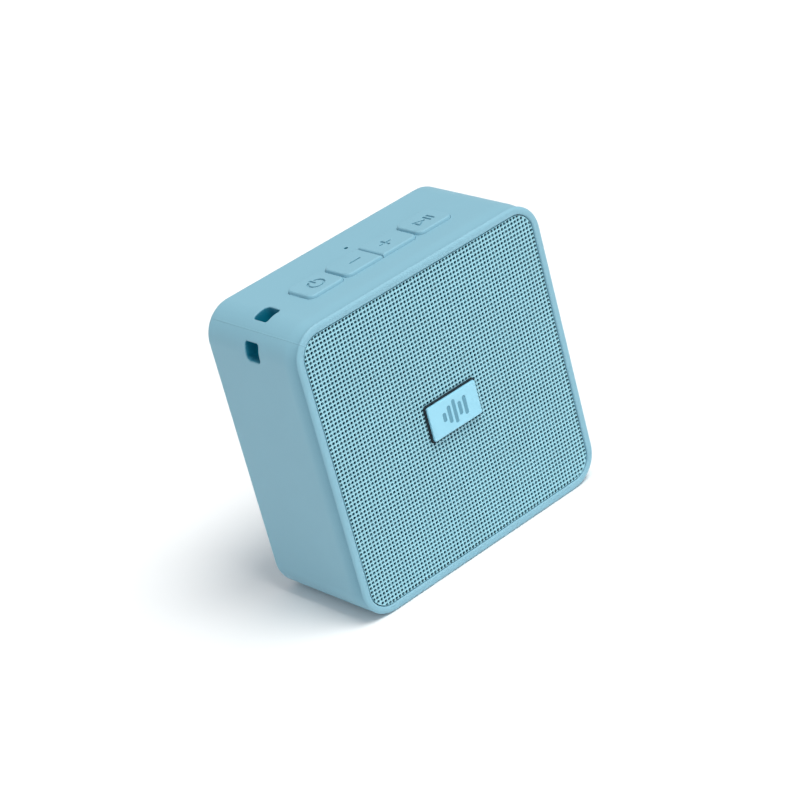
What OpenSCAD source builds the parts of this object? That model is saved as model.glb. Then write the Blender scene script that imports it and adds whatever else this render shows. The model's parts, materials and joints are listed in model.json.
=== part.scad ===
// Portable cube speaker: a soft skin over a rigid tub, a perforated front grille, four press keys
// on top, a lanyard tunnel through one top corner and a hinged cover over the side ports.
// Millimetres. The origin is the centre of the base face, +Z is up and the grille faces -Y.

/* [Body] */
// Width and height of the square body
body_w = 85; // [85:0.5:92]
// Depth from the front rim to the back
body_d = 38.5; // [38.5:0.5:44]
// Radius of the four long corners
corner_r = 9.2; // [9:0.1:9.6]
// Fillet around the back edge
back_fillet = 2.2; // [1.5:0.1:2.4]
// Thickness of the soft skin
skin_t = 1.8; // [1.7:0.1:1.9]
// Thickness of the rigid tub's walls
tub_t = 1.7; // [1.5:0.1:1.9]

/* [Front] */
// Width of the soft rim around the grille
rim_w = 2.4; // [2.3:0.1:2.6]
// Corner radius of the grille opening
opening_r = 6.1; // [5.9:0.1:6.3]
// Depth of the grille behind the rim
grille_inset = 0.3; // [0.2:0.1:0.5]
// Thickness of the grille sheet
grille_t = 0.5; // [0.5:0.1:0.7]
// Width of the badge
badge_w = 17.1; // [14:0.1:20]
// Height of the badge
badge_h = 9.9; // [8:0.1:12]
// Height of the badge's face in front of the rim
badge_rise = 0.9; // [0.5:0.1:1.5]

/* [Keys] */
// Spacing of the four keys along the top
key_pitch = 12.65; // [12:0.05:12.9]
// Width of the valley between the end keys and the volume pair
key_valley = 0.65; // [0.5:0.05:0.9]
// Front to back length of a key
key_len = 10.9; // [10:0.1:11.5]
// Distance of the keys behind the front rim
key_back = 12.3; // [12:0.1:13]
// Height of a key above the top face
key_rise = 0.9; // [0.6:0.1:1.2]
// Press travel of a key
key_travel = 0.4; // [0.2:0.05:0.4]
// Distance of the microphone hole behind the front rim
mic_back = 27.8; // [27.5:0.1:28]

/* [Lanyard tunnel] */
// Reach of the tunnel inwards from the side and down from the top
tunnel_r = 10.5; // [10:0.1:10.6]
// Front to back width of the tunnel
tunnel_w = 5.5; // [5.3:0.1:5.8]
// Size of the bar left at the corner, from the sharp corner
bar_size = 5.3; // [5.1:0.1:5.4]
// Radius of the bar's inner edge
bar_r = 3; // [2.9:0.1:3.2]
// Radius of the tunnel's innermost bend
bend_r = 5; // [4.8:0.1:5.2]

/* [Ports] */
// Front to back width of the port cover
cover_w = 10.4; // [9.8:0.1:10.6]
// Height of the port cover above its hinge
cover_h = 25.7; // [24:0.1:26]
// Distance of the cover's middle in front of the back face
cover_from_back = 8.65; // [8.4:0.05:8.8]
// Radius of the audio socket's bore
jack_r = 1.8; // [1.75:0.05:1.85]

/* [Driver] */
// Side of the driver's square mounting flange
driver_w = 48.5; // [48:0.5:50]
// Height of the driver's axis above the body's middle
driver_up = 1.5; // [1:0.5:2]
// Outer radius of the surround's roll
surround_r = 21; // [20.5:0.1:21]
// Outer radius of the cone
cone_r = 17.4; // [17:0.1:17.4]
// Inner radius of the voice coil former
coil_r = 7.4; // [7.2:0.1:7.5]
// Radius of the ring magnet
magnet_r = 16.5; // [15.5:0.5:17]
// Thickness of the ring magnet
magnet_t = 6; // [5:0.5:6]

/* [Battery] */
// Radius of the cell
cell_r = 9.1; // [9:0.1:9.2]
// Length of the cell
cell_l = 65; // [60:0.5:65]

/* [Hidden] */

$fn = 64;
// A small overlap that keeps cuts open at both ends
bit = 0.5;
// Assembly gap between parts that are pushed together
slip = 0.1;
// Clearance around the moving keys and the cover
free_gap = 0.3;

half = body_w / 2;
front_y = -body_d / 2;
back_y = body_d / 2;
top_z = body_w;

// Grille, its opening and what stands behind it
opening_w = body_w - 2 * rim_w;
grille_gap = 0.25;
grille_w = opening_w - 2 * grille_gap;
grille_r = opening_r - grille_gap;
grille_y = front_y + grille_inset;
grille_back_y = grille_y + grille_t;
flange_end_y = front_y + 3.65;
scrim_t = 0.2;
scrim_y = grille_back_y + 0.05;
baffle_y = flange_end_y + slip;
baffle_t = 2.2;
baffle_back_y = baffle_y + baffle_t;
seal_t = 0.6;
tab_w = 4;
tab_l = baffle_t + seal_t;
tab_places = [-24, 24];
badge_pad_t = 0.45;
badge_pad_edge = 0.5;
badge_pin_r = 0.75;
badge_pin_x = 5;
badge_pin_end = 1;
badge_corner_r = 0.5;
clip_r = 1.8;
clip_t = 0.5;
foam_w = 1.8;

// Skin and tub
cavity_w = body_w - 2 * skin_t;
cavity_r = corner_r - skin_t;
cavity_back_y = back_y - skin_t;
tub_w = cavity_w - 2 * slip;
tub_r = cavity_r - slip;
tub_front_y = baffle_back_y + seal_t;
tub_back_y = cavity_back_y - slip;
tub_in_w = tub_w - 2 * tub_t;
tub_in_r = tub_r - tub_t;
tub_floor_y = tub_back_y - tub_t;
tub_top_z = half + tub_w / 2;
tub_ceiling_z = half + tub_in_w / 2;
tub_bottom_z = half - tub_in_w / 2;

// Screw posts in the corners of the tub
post_r = 2.6;
post_at = tub_in_w / 2 - 3.2;
post_l = 6.2;
pilot_r = 1.05;
pass_r = 1.3;
shank_r = 1;
small_head_r = 1.9;
small_head_h = 1.1;
baffle_head_r = 2;
baffle_head_h = 1.3;

// Keys, from the switch boss upwards
key_w = key_pitch - key_valley;
pair_gap = 0.16;
pair_key_w = key_pitch - key_valley / 2 - pair_gap / 2;
pair_key_x = (pair_gap + pair_key_w) / 2;
key_mid_y = front_y + key_back + key_len / 2;
key_x = [-1.5 * key_pitch, -pair_key_x, pair_key_x, 1.5 * key_pitch];
key_gap = 0.1;
key_corner_r = 2;
key_top_z = top_z + key_rise;
lip_t = 0.8;
key_flange_t = 0.55;
key_flange_top_z = top_z - lip_t - 0.05;
key_flange_z = key_flange_top_z - key_flange_t;
key_flange_out = 0.8;
pocket_out = 1.2;
plunger_r = 1.7;
plunger_hole_r = 2.1;
symbol_depth = 0.35;
symbol_w = 0.45;

// Board under the keys
button_board_t = 1;
button_board_z = top_z - 8.4;
button_board_top_z = button_board_z + button_board_t;
button_board_w = 57;
button_board_front_y = front_y + 12.2;
button_board_back_y = front_y + 29.8;
switch_w = 6;
switch_h = 2.6;
switch_top_z = button_board_top_z + switch_h;
switch_bore_r = 1.2;
switch_bore_l = 1;
boss_x = 26;
boss_r = 2.2;
plunger_stem_gap = 0.6;
mic_y = front_y + mic_back;
mic_hole_r = 0.45;
mic_w = 3.8;
mic_l = 2.9;
mic_h = 1.1;
boot_r = 2.2;
boot_bore_r = 0.6;
flat_cable_x = 12;
flat_cable_w = 8;
flat_cable_t = 0.3;

// Tunnel, its block in the skin and its shell in the tub
tunnel_y = key_mid_y + 1.25;
block_t = 1.5;
block_size = tunnel_r + block_t;
block_w = tunnel_w + 2 * block_t + 0.4;
notch_size = block_size + slip;
notch_w = block_w + 0.4;
shell_t = 1.2;

// Ports and their cover
cover_y = back_y - cover_from_back;
cover_t = 1.65;
cover_x = half - cover_t / 2;
hinge_z = half - 4.2;
hinge_r = cover_t / 2;
hinge_pin_r = 0.5;
hinge_hole_r = 0.57;
hinge_pin_l = 0.8;
hinge_hole_l = 1.2;
cover_corner_r = 2;
sweep_gap = 1.2;
usb_z = hinge_z + 6.9;
usb_w = 8.9;
usb_h = 3.2;
usb_l = 7.4;
jack_z = hinge_z + 19.4;
jack_body_w = 6.2;
jack_body_l = 12;
jack_bore_l = 12.6;
jack_nose_r = 2.9;
jack_end_x = half - skin_t - slip;

// Driver: y values along its axis, front to back
driver_z = half + driver_up;
gasket_t = 0.5;
frame_y = baffle_back_y + gasket_t;
frame_t = 0.9;
driver_corner_r = 4;
ear_at = driver_w / 2 - 4;
driver_boss_r = 2.3;
driver_boss_l = 1.9;
baffle_hole_r = surround_r + 2.2;
roll_w = surround_r - cone_r - 0.1;
rubber_t = 0.4;
basket_back_y = frame_y + 9.8;
plate_t = 2;
plate_y = basket_back_y + 0.8;
magnet_y = plate_y + plate_t;
yoke_y = magnet_y + magnet_t;
yoke_t = 2;
pole_r = coil_r - 0.3;
top_plate_r = 15;
yoke_r = 15.4;
former_t = 0.2;
winding_t = 0.45;
winding_r = coil_r + former_t + winding_t;
gap_r = winding_r + 0.35;
neck_y = frame_y + 5;
spider_y = frame_y + 6.8;
spider_t = 0.4;
spider_r = 15.6;
ledge_t = 0.8;
cap_r = coil_r + 1.8;
cap_rise = 2.2;
cap_ball_r = (cap_r * cap_r + cap_rise * cap_rise) / (2 * cap_rise);

// Main board on the tub's back wall
board_t = 1.2;
board_gap = 1.45;
board_back_y = tub_floor_y - board_gap;
board_y = board_back_y - board_t;
board_left_x = -half + 11.5;
board_right_x = half - 4.9;
board_bottom_z = 27;
board_top_z = top_z - 11.2;
board_hole_x = half - 14.5;
board_hole_z = [board_bottom_z + 3, board_top_z - 3];
standoff_r = 2.4;
lead_plug_h = 2.6;
flat_plug_h = 1.3;
battery_plug_h = 3;

// Battery along the bottom
cell_y = tub_floor_y - cell_r - 1.4;
cell_z = tub_bottom_z + cell_r + 1.9;
saddle_x = 22;
saddle_t = 6;
saddle_h = 8.4;
cradle_t = 0.8;
tab_t = 0.3;
tab_h = 4;
tab_half_w = 2.5;
foam_x = 9;
foam_half = 4;
protection_t = 1;

wire_r = 0.55;

// ---------- helpers ----------

// Rectangle with rounded corners, centred
module rounded_rect(w, h, r) {
    square([w - 2 * r, h], center = true);
    square([w, h - 2 * r], center = true);
    for (sx = [-1, 1], sy = [-1, 1])
        translate([sx * (w / 2 - r), sy * (h / 2 - r)])
            circle(r = r);
}

// Extrudes a front-view outline from one depth to another
module through_depth(y0, y1, z = half) {
    translate([0, y1, z])
        rotate([90, 0, 0])
            linear_extrude(height = y1 - y0)
                children();
}

// Turns a [radius, y] profile about the driver's axis
module about_driver() {
    translate([0, 0, driver_z])
        rotate([-90, 0, 0])
            rotate_extrude($fn = 96)
                children();
}

// Box between two opposite corners
module box(low, high) {
    translate(low)
        cube(high - low);
}

// Screw with its seat at the origin, its head along +Z and its shank along -Z
module screw(head_r, head_h, shank_l) {
    difference() {
        cylinder(r = head_r, h = head_h);
        for (a = [0, 90])
            rotate([0, 0, a])
                translate([-head_r * 0.6, -0.2, head_h * 0.4])
                    cube([head_r * 1.2, 0.4, head_h]);
    }
    translate([0, 0, -shank_l])
        cylinder(r = shank_r, h = shank_l + 0.01);
}

// Point and direction at t on a cubic curve with four control points
function curve_at(p, t) =
    pow(1 - t, 3) * p[0] + 3 * pow(1 - t, 2) * t * p[1] + 3 * (1 - t) * t * t * p[2] + pow(t, 3) * p[3];
function heading_at(p, t) =
    unit(pow(1 - t, 2) * (p[1] - p[0]) + 2 * (1 - t) * t * (p[2] - p[1]) + t * t * (p[3] - p[2]));
function unit(v) = v / norm(v);

// Insulated wire along a cubic curve: rings of points swept along it and joined
module wire(controls, side_hint) {
    sides = 10;
    rings = 22;
    points = [for (i = [0 : rings - 1], k = [0 : sides - 1])
        let (t = i / (rings - 1), h = heading_at(controls, t))
        let (u = unit(cross(h, side_hint)), v = cross(h, u))
        curve_at(controls, t) + wire_r * (cos(360 * k / sides) * u + sin(360 * k / sides) * v)];
    walls = [for (i = [0 : rings - 2], k = [0 : sides - 1])
        let (a = i * sides + k, b = i * sides + (k + 1) % sides)
        [a, a + sides, b + sides, b]];
    start_cap = [[for (k = [0 : sides - 1]) k]];
    end_cap = [[for (k = [sides - 1 : -1 : 0]) (rings - 1) * sides + k]];
    polyhedron(points, concat(start_cap, walls, end_cap));
}

// Body outline with its back edge filleted: solid from the front to the back
module filleted_block() {
    for (sx = [-1, 1], sz = [-1, 1])
        translate([sx * (half - corner_r), 0, half + sz * (half - corner_r)])
            rotate([-90, 0, 0])
                rotate_extrude() {
                    translate([0, front_y])
                        square([corner_r, body_d - back_fillet]);
                    translate([0, front_y])
                        square([corner_r - back_fillet, body_d]);
                    translate([corner_r - back_fillet, back_y - back_fillet])
                        circle(r = back_fillet);
                }
    straight = body_w - 2 * corner_r;
    translate([-straight / 2, 0, half])
        rotate([90, 0, 90])
            linear_extrude(height = straight)
                slab_outline();
    translate([0, 0, corner_r])
        linear_extrude(height = straight)
            rotate([0, 0, 90])
                mirror([0, 1])
                    slab_outline();
}

// Section of the straight stretches, drawn as [y, sideways]
module slab_outline() {
    translate([front_y, -half])
        square([body_d - back_fillet, body_w]);
    translate([front_y, -half + back_fillet])
        square([body_d, body_w - 2 * back_fillet]);
    for (s = [-1, 1])
        translate([back_y - back_fillet, s * (half - back_fillet)])
            circle(r = back_fillet);
}

// ---------- skin ----------

// Upright slab over the sharp top corner, this far in from the side and down from the top
module corner_slab(size, r, w) {
    translate([-half, tunnel_y + w / 2, top_z])
        rotate([90, 0, 0])
            linear_extrude(height = w)
                hull() {
                    translate([size - r, r - size])
                        circle(r = r);
                    for (corner = [[-size, -size], [-size, size - bit], [size - bit, size - bit]])
                        translate(corner)
                            square(bit);
                }
}

// The lanyard tunnel: an open bend behind the bar at the corner
module tunnel_space() {
    difference() {
        corner_slab(tunnel_r, bend_r, tunnel_w);
        corner_slab(bar_size, bar_r, 2 * tunnel_w);
    }
}

// Hole in the top face around a key, or around the volume pair
module key_slot(x, w) {
    translate([x, key_mid_y, top_z - skin_t - bit])
        linear_extrude(height = skin_t + 2 * bit)
            rounded_rect(w + 2 * key_gap, key_len, key_corner_r);
}

module outer_sleeve() {
    color("#8fbccb")
        difference() {
            filleted_block();
            difference() {
                through_depth(baffle_y - slip, cavity_back_y)
                    rounded_rect(cavity_w, cavity_w, cavity_r);
                corner_slab(block_size, bend_r + block_t, block_w);
            }
            through_depth(front_y - bit, baffle_y)
                rounded_rect(opening_w, opening_w, opening_r);
            tunnel_space();
            // slots for the keys, with a wider pocket under their lip
            for (x = [key_x[0], key_x[3]])
                key_slot(x, key_w);
            key_slot(0, 2 * pair_key_w + pair_gap);
            box([-2 * key_pitch - pocket_out, key_mid_y - key_len / 2 - pocket_out, top_z - skin_t - bit],
                [2 * key_pitch + pocket_out, key_mid_y + key_len / 2 + pocket_out, top_z - lip_t]);
            // microphone hole
            translate([0, mic_y, top_z - skin_t - bit])
                cylinder(r = mic_hole_r, h = skin_t + 2 * bit, $fn = 24);
            // window for the port cover, and the sockets of its hinge pins
            box([half - skin_t - bit, cover_y - cover_w / 2 - free_gap, hinge_z - sweep_gap],
                [half + bit, cover_y + cover_w / 2 + free_gap, hinge_z + cover_h + free_gap]);
            translate([cover_x, cover_y - cover_w / 2 - hinge_hole_l, hinge_z])
                rotate([-90, 0, 0])
                    cylinder(r = hinge_hole_r, h = cover_w + 2 * hinge_hole_l, $fn = 24);
        }
}

// ---------- front ----------

module front_grille() {
    color("#7ba7b4") {
        difference() {
            union() {
                through_depth(grille_y, flange_end_y)
                    rounded_rect(grille_w, grille_w, grille_r);
                // tabs that hook through the baffle
                for (sx = [-1, 1], p = tab_places) {
                    box([sx * (grille_w / 2 - grille_t / 2) - grille_t / 2, flange_end_y - bit,
                         half + p - tab_w / 2],
                        [sx * (grille_w / 2 - grille_t / 2) + grille_t / 2, flange_end_y + tab_l,
                         half + p + tab_w / 2]);
                }
            }
            through_depth(grille_back_y, flange_end_y + bit)
                rounded_rect(grille_w - 2 * grille_t, grille_w - 2 * grille_t,
                             grille_r - grille_t);
            for (s = [-1, 1])
                translate([s * badge_pin_x, grille_y - bit, half])
                    rotate([-90, 0, 0])
                        cylinder(r = badge_pin_r + 0.1, h = grille_t + 2 * bit, $fn = 24);
        }
    }
}

module badge() {
    color("#a5dcec") {
        through_depth(front_y - badge_rise, grille_y - badge_pad_t)
            rounded_rect(badge_w, badge_h, badge_corner_r);
        // two pins that pass through the pad and the grille
        for (s = [-1, 1])
            translate([s * badge_pin_x, grille_y - badge_pad_t - 0.01, half])
                rotate([-90, 0, 0])
                    cylinder(r = badge_pin_r, h = badge_pad_t + grille_t + badge_pin_end, $fn = 24);
    }
}

// Dark pad between the badge and the grille, a little wider than the badge
module badge_pad() {
    color("#101416")
        difference() {
            through_depth(grille_y - badge_pad_t, grille_y)
                rounded_rect(badge_w + 2 * badge_pad_edge, badge_h + 2 * badge_pad_edge,
                             badge_corner_r + 0.4);
            for (s = [-1, 1])
                translate([s * badge_pin_x, grille_y - badge_pad_t - bit, half])
                    rotate([-90, 0, 0])
                        cylinder(r = badge_pin_r + 0.05, h = badge_pad_t + 2 * bit, $fn = 24);
        }
}

module badge_clips() {
    color("silver")
        for (s = [-1, 1])
            translate([s * badge_pin_x, grille_back_y, half])
                rotate([-90, 0, 0])
                    difference() {
                        cylinder(r = clip_r, h = clip_t, $fn = 32);
                        translate([0, 0, -bit])
                            cylinder(r = badge_pin_r + 0.03, h = clip_t + 2 * bit, $fn = 24);
                    }
}

module grille_scrim() {
    scrim_w = grille_w - 2 * grille_t - 0.4;
    color("#14181a")
        difference() {
            through_depth(scrim_y, scrim_y + scrim_t)
                rounded_rect(scrim_w, scrim_w, grille_r - grille_t - 0.2);
            for (s = [-1, 1])
                translate([s * badge_pin_x, scrim_y - bit, half])
                    rotate([-90, 0, 0])
                        cylinder(r = clip_r + 0.3, h = scrim_t + 2 * bit, $fn = 32);
        }
}

module grille_foam() {
    foam_out_w = grille_w - 2 * grille_t - 1;
    color("#2a2c2e")
        difference() {
            through_depth(scrim_y + scrim_t, baffle_y)
                rounded_rect(foam_out_w, foam_out_w, grille_r - 1);
            through_depth(scrim_y - bit, baffle_y + bit)
                rounded_rect(foam_out_w - 2 * foam_w, foam_out_w - 2 * foam_w, grille_r - 2);
            // room for the baffle's screw heads
            for (sx = [-1, 1], sz = [-1, 1])
                translate([sx * post_at, scrim_y - bit, half + sz * post_at])
                    rotate([-90, 0, 0])
                        cylinder(r = baffle_head_r + 0.4, h = 4, $fn = 32);
        }
}

// ---------- keys ----------

// Outline of a key, with the corners rounded on one side or both
module key_outline(w, l, round_left, round_right) {
    square([w - 2 * key_corner_r, l], center = true);
    for (side = [-1, 1])
        translate([side * (w / 2 - key_corner_r), 0])
            if (side < 0 ? round_left : round_right) {
                square([2 * key_corner_r, l - 2 * key_corner_r], center = true);
                for (s = [-1, 1])
                    translate([0, s * (l / 2 - key_corner_r)])
                        circle(r = key_corner_r);
            } else {
                square([2 * key_corner_r, l], center = true);
            }
}

// One soft key with its flange under the skin's lip; the children are its engraved symbol
module key_pad(x, w, round_left = true, round_right = true) {
    color("#9cc9d6")
        difference() {
            union() {
                translate([x, key_mid_y, key_flange_z])
                    linear_extrude(height = key_top_z - key_flange_z)
                        key_outline(w, key_len - 2 * key_gap, round_left, round_right);
                translate([x, key_mid_y, key_flange_z])
                    linear_extrude(height = key_flange_t)
                        square([w, key_len + 2 * key_flange_out], center = true);
            }
            translate([x, key_mid_y, key_top_z - symbol_depth])
                linear_extrude(height = symbol_depth + bit)
                    children();
        }
}

// Hard plunger under a key, with the switch's own stem at its foot
module plunger(x) {
    color("#e8e8e4") {
        translate([x, key_mid_y, switch_top_z + plunger_stem_gap])
            cylinder(r = plunger_r, h = key_flange_z - switch_top_z - plunger_stem_gap, $fn = 32);
        translate([x, key_mid_y, switch_top_z - switch_bore_l + key_travel + 0.1])
            cylinder(r = switch_bore_r - 0.2, h = 2, $fn = 24);
    }
}

module bar_symbol(l) {
    square([l, symbol_w], center = true);
}

module power_key() {
    key_pad(key_x[0], key_w) {
        difference() {
            circle(r = 2.45);
            circle(r = 2.45 - symbol_w);
            translate([0, 2.2])
                square([1.6, 1.8], center = true);
        }
        translate([0, 1.6])
            rotate([0, 0, 90])
                bar_symbol(2.4);
    }
}

module volume_down_key() {
    key_pad(key_x[1], pair_key_w, round_right = false)
        translate([1, 0])
            bar_symbol(3.2);
}

module volume_up_key() {
    key_pad(key_x[2], pair_key_w, round_left = false)
        translate([-1, 0]) {
            bar_symbol(3.2);
            rotate([0, 0, 90])
                bar_symbol(3.2);
        }
}

module play_key() {
    key_pad(key_x[3], key_w) {
        translate([-1, 0])
            polygon([[-1.2, -1.5], [1.4, 0], [-1.2, 1.5]]);
        for (x = [1.2, 2.2])
            translate([x, 0])
                rotate([0, 0, 90])
                    bar_symbol(3);
    }
}

module power_plunger() {
    plunger(key_x[0]);
}

module volume_down_plunger() {
    plunger(key_x[1]);
}

module volume_up_plunger() {
    plunger(key_x[2]);
}

module play_plunger() {
    plunger(key_x[3]);
}

// ---------- button board ----------

module button_board() {
    color("#1d6b3a")
        difference() {
            box([-button_board_w / 2, button_board_front_y, button_board_z],
                [button_board_w / 2, button_board_back_y, button_board_top_z]);
            for (s = [-1, 1])
                translate([s * boss_x, key_mid_y, button_board_z - bit])
                    cylinder(r = pass_r, h = button_board_t + 2 * bit, $fn = 24);
        }
}

module tact_switches() {
    color("#2b2b2d")
        for (x = key_x)
            difference() {
                box([x - switch_w / 2, key_mid_y - switch_w / 2, button_board_top_z],
                    [x + switch_w / 2, key_mid_y + switch_w / 2, switch_top_z]);
                translate([x, key_mid_y, switch_top_z - switch_bore_l])
                    cylinder(r = switch_bore_r, h = switch_bore_l + bit, $fn = 24);
            }
}

module microphone() {
    color("gold")
        box([-mic_w / 2, mic_y - mic_l / 2, button_board_top_z],
            [mic_w / 2, mic_y + mic_l / 2, button_board_top_z + mic_h]);
}

module microphone_boot() {
    boot_z = button_board_top_z + mic_h;
    color("#202224")
        translate([0, mic_y, boot_z])
            difference() {
                cylinder(r = boot_r, h = tub_ceiling_z - boot_z, $fn = 32);
                translate([0, 0, -bit])
                    cylinder(r = boot_bore_r, h = tub_ceiling_z - boot_z + 2 * bit, $fn = 24);
            }
}

module button_board_screws() {
    color("silver")
        for (s = [-1, 1])
            translate([s * boss_x, key_mid_y, button_board_z])
                rotate([180, 0, 0])
                    screw(small_head_r, small_head_h, 4.2);
}

// Flat cable from the button board down to the main board
module button_cable() {
    cable_y = board_y - flat_plug_h;
    color("#c08a3e")
        translate([flat_cable_x, 0, 0])
            rotate([90, 0, 90])
                linear_extrude(height = flat_cable_w)
                    polygon([
                        [button_board_back_y - 3, button_board_z],
                        [cable_y, button_board_z],
                        [cable_y, board_top_z - 4],
                        [cable_y - flat_cable_t, board_top_z - 4],
                        [cable_y - flat_cable_t, button_board_z - flat_cable_t],
                        [button_board_back_y - 3, button_board_z - flat_cable_t]
                    ]);
}

// ---------- tub and baffle ----------

module chassis_tub() {
    color("#33383b")
        difference() {
            union() {
                difference() {
                    through_depth(tub_front_y, tub_back_y)
                        rounded_rect(tub_w, tub_w, tub_r);
                    through_depth(tub_front_y - bit, tub_floor_y)
                        rounded_rect(tub_in_w, tub_in_w, tub_in_r);
                }
                // everything inside is trimmed to the tub's outline
                intersection() {
                    through_depth(tub_front_y, tub_back_y)
                        rounded_rect(tub_w, tub_w, tub_r);
                    union() {
                        corner_slab(notch_size + shell_t, bend_r + block_t + shell_t,
                                    notch_w + 2 * shell_t);
                        for (sx = [-1, 1], sz = [-1, 1])
                            translate([sx * post_at, tub_front_y, half + sz * post_at])
                                rotate([-90, 0, 0])
                                    cylinder(r = post_r, h = post_l, $fn = 32);
                        for (x = [-board_hole_x, board_hole_x], z = board_hole_z)
                            translate([x, board_back_y, z])
                                rotate([-90, 0, 0])
                                    cylinder(r = standoff_r, h = board_gap + 0.2, $fn = 32);
                        for (s = [-1, 1])
                            translate([s * boss_x, key_mid_y, button_board_top_z])
                                cylinder(r = boss_r, h = tub_top_z - button_board_top_z, $fn = 32);
                    }
                }
            }
            corner_slab(notch_size, bend_r + block_t, notch_w);
            for (sx = [-1, 1], sz = [-1, 1])
                translate([sx * post_at, tub_front_y - bit, half + sz * post_at])
                    rotate([-90, 0, 0])
                        cylinder(r = pilot_r, h = post_l - 0.5, $fn = 24);
            for (x = [-board_hole_x, board_hole_x], z = board_hole_z)
                translate([x, board_back_y - bit, z])
                    rotate([-90, 0, 0])
                        cylinder(r = pilot_r, h = board_gap + bit + 1, $fn = 24);
            for (s = [-1, 1])
                translate([s * boss_x, key_mid_y, button_board_top_z - bit])
                    cylinder(r = pilot_r, h = 4, $fn = 24);
            for (x = key_x)
                translate([x, key_mid_y, tub_ceiling_z - bit])
                    cylinder(r = plunger_hole_r, h = tub_t + 2 * bit, $fn = 32);
            translate([0, mic_y, tub_ceiling_z - bit])
                cylinder(r = 0.7, h = tub_t + 2 * bit, $fn = 24);
            // port openings in the right wall
            box([tub_in_w / 2 - bit, board_y - usb_h - 0.2, usb_z - usb_w / 2 - 0.2],
                [half, board_y + 0.2, usb_z + usb_w / 2 + 0.2]);
            translate([tub_in_w / 2 - bit, board_y - jack_body_w / 2, jack_z])
                rotate([0, 90, 0])
                    cylinder(r = jack_nose_r + 0.1, h = tub_t + 2 * bit, $fn = 48);
        }
}

module front_baffle() {
    color("#3b4043")
        difference() {
            union() {
                through_depth(baffle_y, baffle_back_y)
                    rounded_rect(tub_w, tub_w, tub_r);
                // blind bosses for the driver's screws
                for (sx = [-1, 1], sz = [-1, 1])
                    translate([sx * ear_at, baffle_y - driver_boss_l, driver_z + sz * ear_at])
                        rotate([-90, 0, 0])
                            cylinder(r = driver_boss_r, h = driver_boss_l + 0.1, $fn = 32);
            }
            translate([0, baffle_y - bit, driver_z])
                rotate([-90, 0, 0])
                    cylinder(r = baffle_hole_r, h = baffle_t + 2 * bit, $fn = 96);
            for (sx = [-1, 1], sz = [-1, 1]) {
                translate([sx * ear_at, baffle_y - driver_boss_l + 0.6, driver_z + sz * ear_at])
                    rotate([-90, 0, 0])
                        cylinder(r = pilot_r, h = 10, $fn = 24);
                translate([sx * post_at, baffle_y - bit, half + sz * post_at])
                    rotate([-90, 0, 0])
                        cylinder(r = pass_r, h = baffle_t + 2 * bit, $fn = 24);
            }
            // slots for the grille's tabs
            for (sx = [-1, 1], p = tab_places)
                translate([sx * (grille_w / 2 - grille_t / 2), baffle_y + baffle_t / 2, half + p])
                    cube([grille_t + 0.3, baffle_t + 2 * bit, tab_w + 0.4], center = true);
        }
}

module baffle_seal() {
    color("#1f2123")
        difference() {
            through_depth(baffle_back_y, tub_front_y)
                rounded_rect(tub_w, tub_w, tub_r);
            through_depth(baffle_back_y - bit, tub_front_y + bit)
                rounded_rect(tub_in_w, tub_in_w, tub_in_r);
            for (sx = [-1, 1], sz = [-1, 1])
                translate([sx * post_at, baffle_back_y - bit, half + sz * post_at])
                    rotate([-90, 0, 0])
                        cylinder(r = pass_r, h = seal_t + 2 * bit, $fn = 24);
            for (sx = [-1, 1], p = tab_places)
                translate([sx * (grille_w / 2 - grille_t / 2), baffle_back_y, half + p])
                    cube([grille_t + 0.3, 4, tab_w + 0.4], center = true);
        }
}

module baffle_screws() {
    color("silver")
        for (sx = [-1, 1], sz = [-1, 1])
            translate([sx * post_at, baffle_y, half + sz * post_at])
                rotate([90, 0, 0])
                    screw(baffle_head_r, baffle_head_h, baffle_t + seal_t + post_l - 1.4);
}

// ---------- driver ----------

module driver_frame() {
    color("#55595c")
        difference() {
            union() {
                through_depth(frame_y, frame_y + frame_t, driver_z)
                    rounded_rect(driver_w, driver_w, driver_corner_r);
                about_driver()
                    polygon([
                        [surround_r - 0.2, frame_y], [surround_r + 1, frame_y],
                        [surround_r + 1, frame_y + frame_t + 0.4], [17.8, basket_back_y - 2.2],
                        [17.4, basket_back_y + 0.8], [gap_r + 1, basket_back_y + 0.8],
                        [gap_r + 1, basket_back_y], [16.6, basket_back_y],
                        [16.6, spider_y + spider_t + ledge_t], [14.6, spider_y + spider_t + ledge_t],
                        [14.6, spider_y + spider_t], [17.2, spider_y + spider_t],
                        [surround_r - 0.2, frame_y + frame_t]
                    ]);
            }
            about_driver()
                translate([0, frame_y - bit])
                    square([surround_r - 0.2, frame_t + bit]);
            // four windows in the basket's side
            for (a = [45 : 90 : 315])
                translate([0, frame_y + 2.4, driver_z])
                    rotate([0, a, 0])
                        translate([16, 0, -5.5])
                            cube([8, 3.4, 11]);
            for (sx = [-1, 1], sz = [-1, 1])
                translate([sx * ear_at, frame_y - bit, driver_z + sz * ear_at])
                    rotate([-90, 0, 0])
                        cylinder(r = pass_r, h = frame_t + 2 * bit, $fn = 24);
        }
}

module driver_gasket() {
    color("#1b1c1e")
        difference() {
            through_depth(baffle_back_y, frame_y, driver_z)
                rounded_rect(driver_w, driver_w, driver_corner_r);
            translate([0, baffle_back_y - bit, driver_z])
                rotate([-90, 0, 0])
                    cylinder(r = baffle_hole_r + 0.3, h = gasket_t + 2 * bit, $fn = 96);
            for (sx = [-1, 1], sz = [-1, 1])
                translate([sx * ear_at, baffle_back_y - bit, driver_z + sz * ear_at])
                    rotate([-90, 0, 0])
                        cylinder(r = pass_r, h = gasket_t + 2 * bit, $fn = 24);
        }
}

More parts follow.
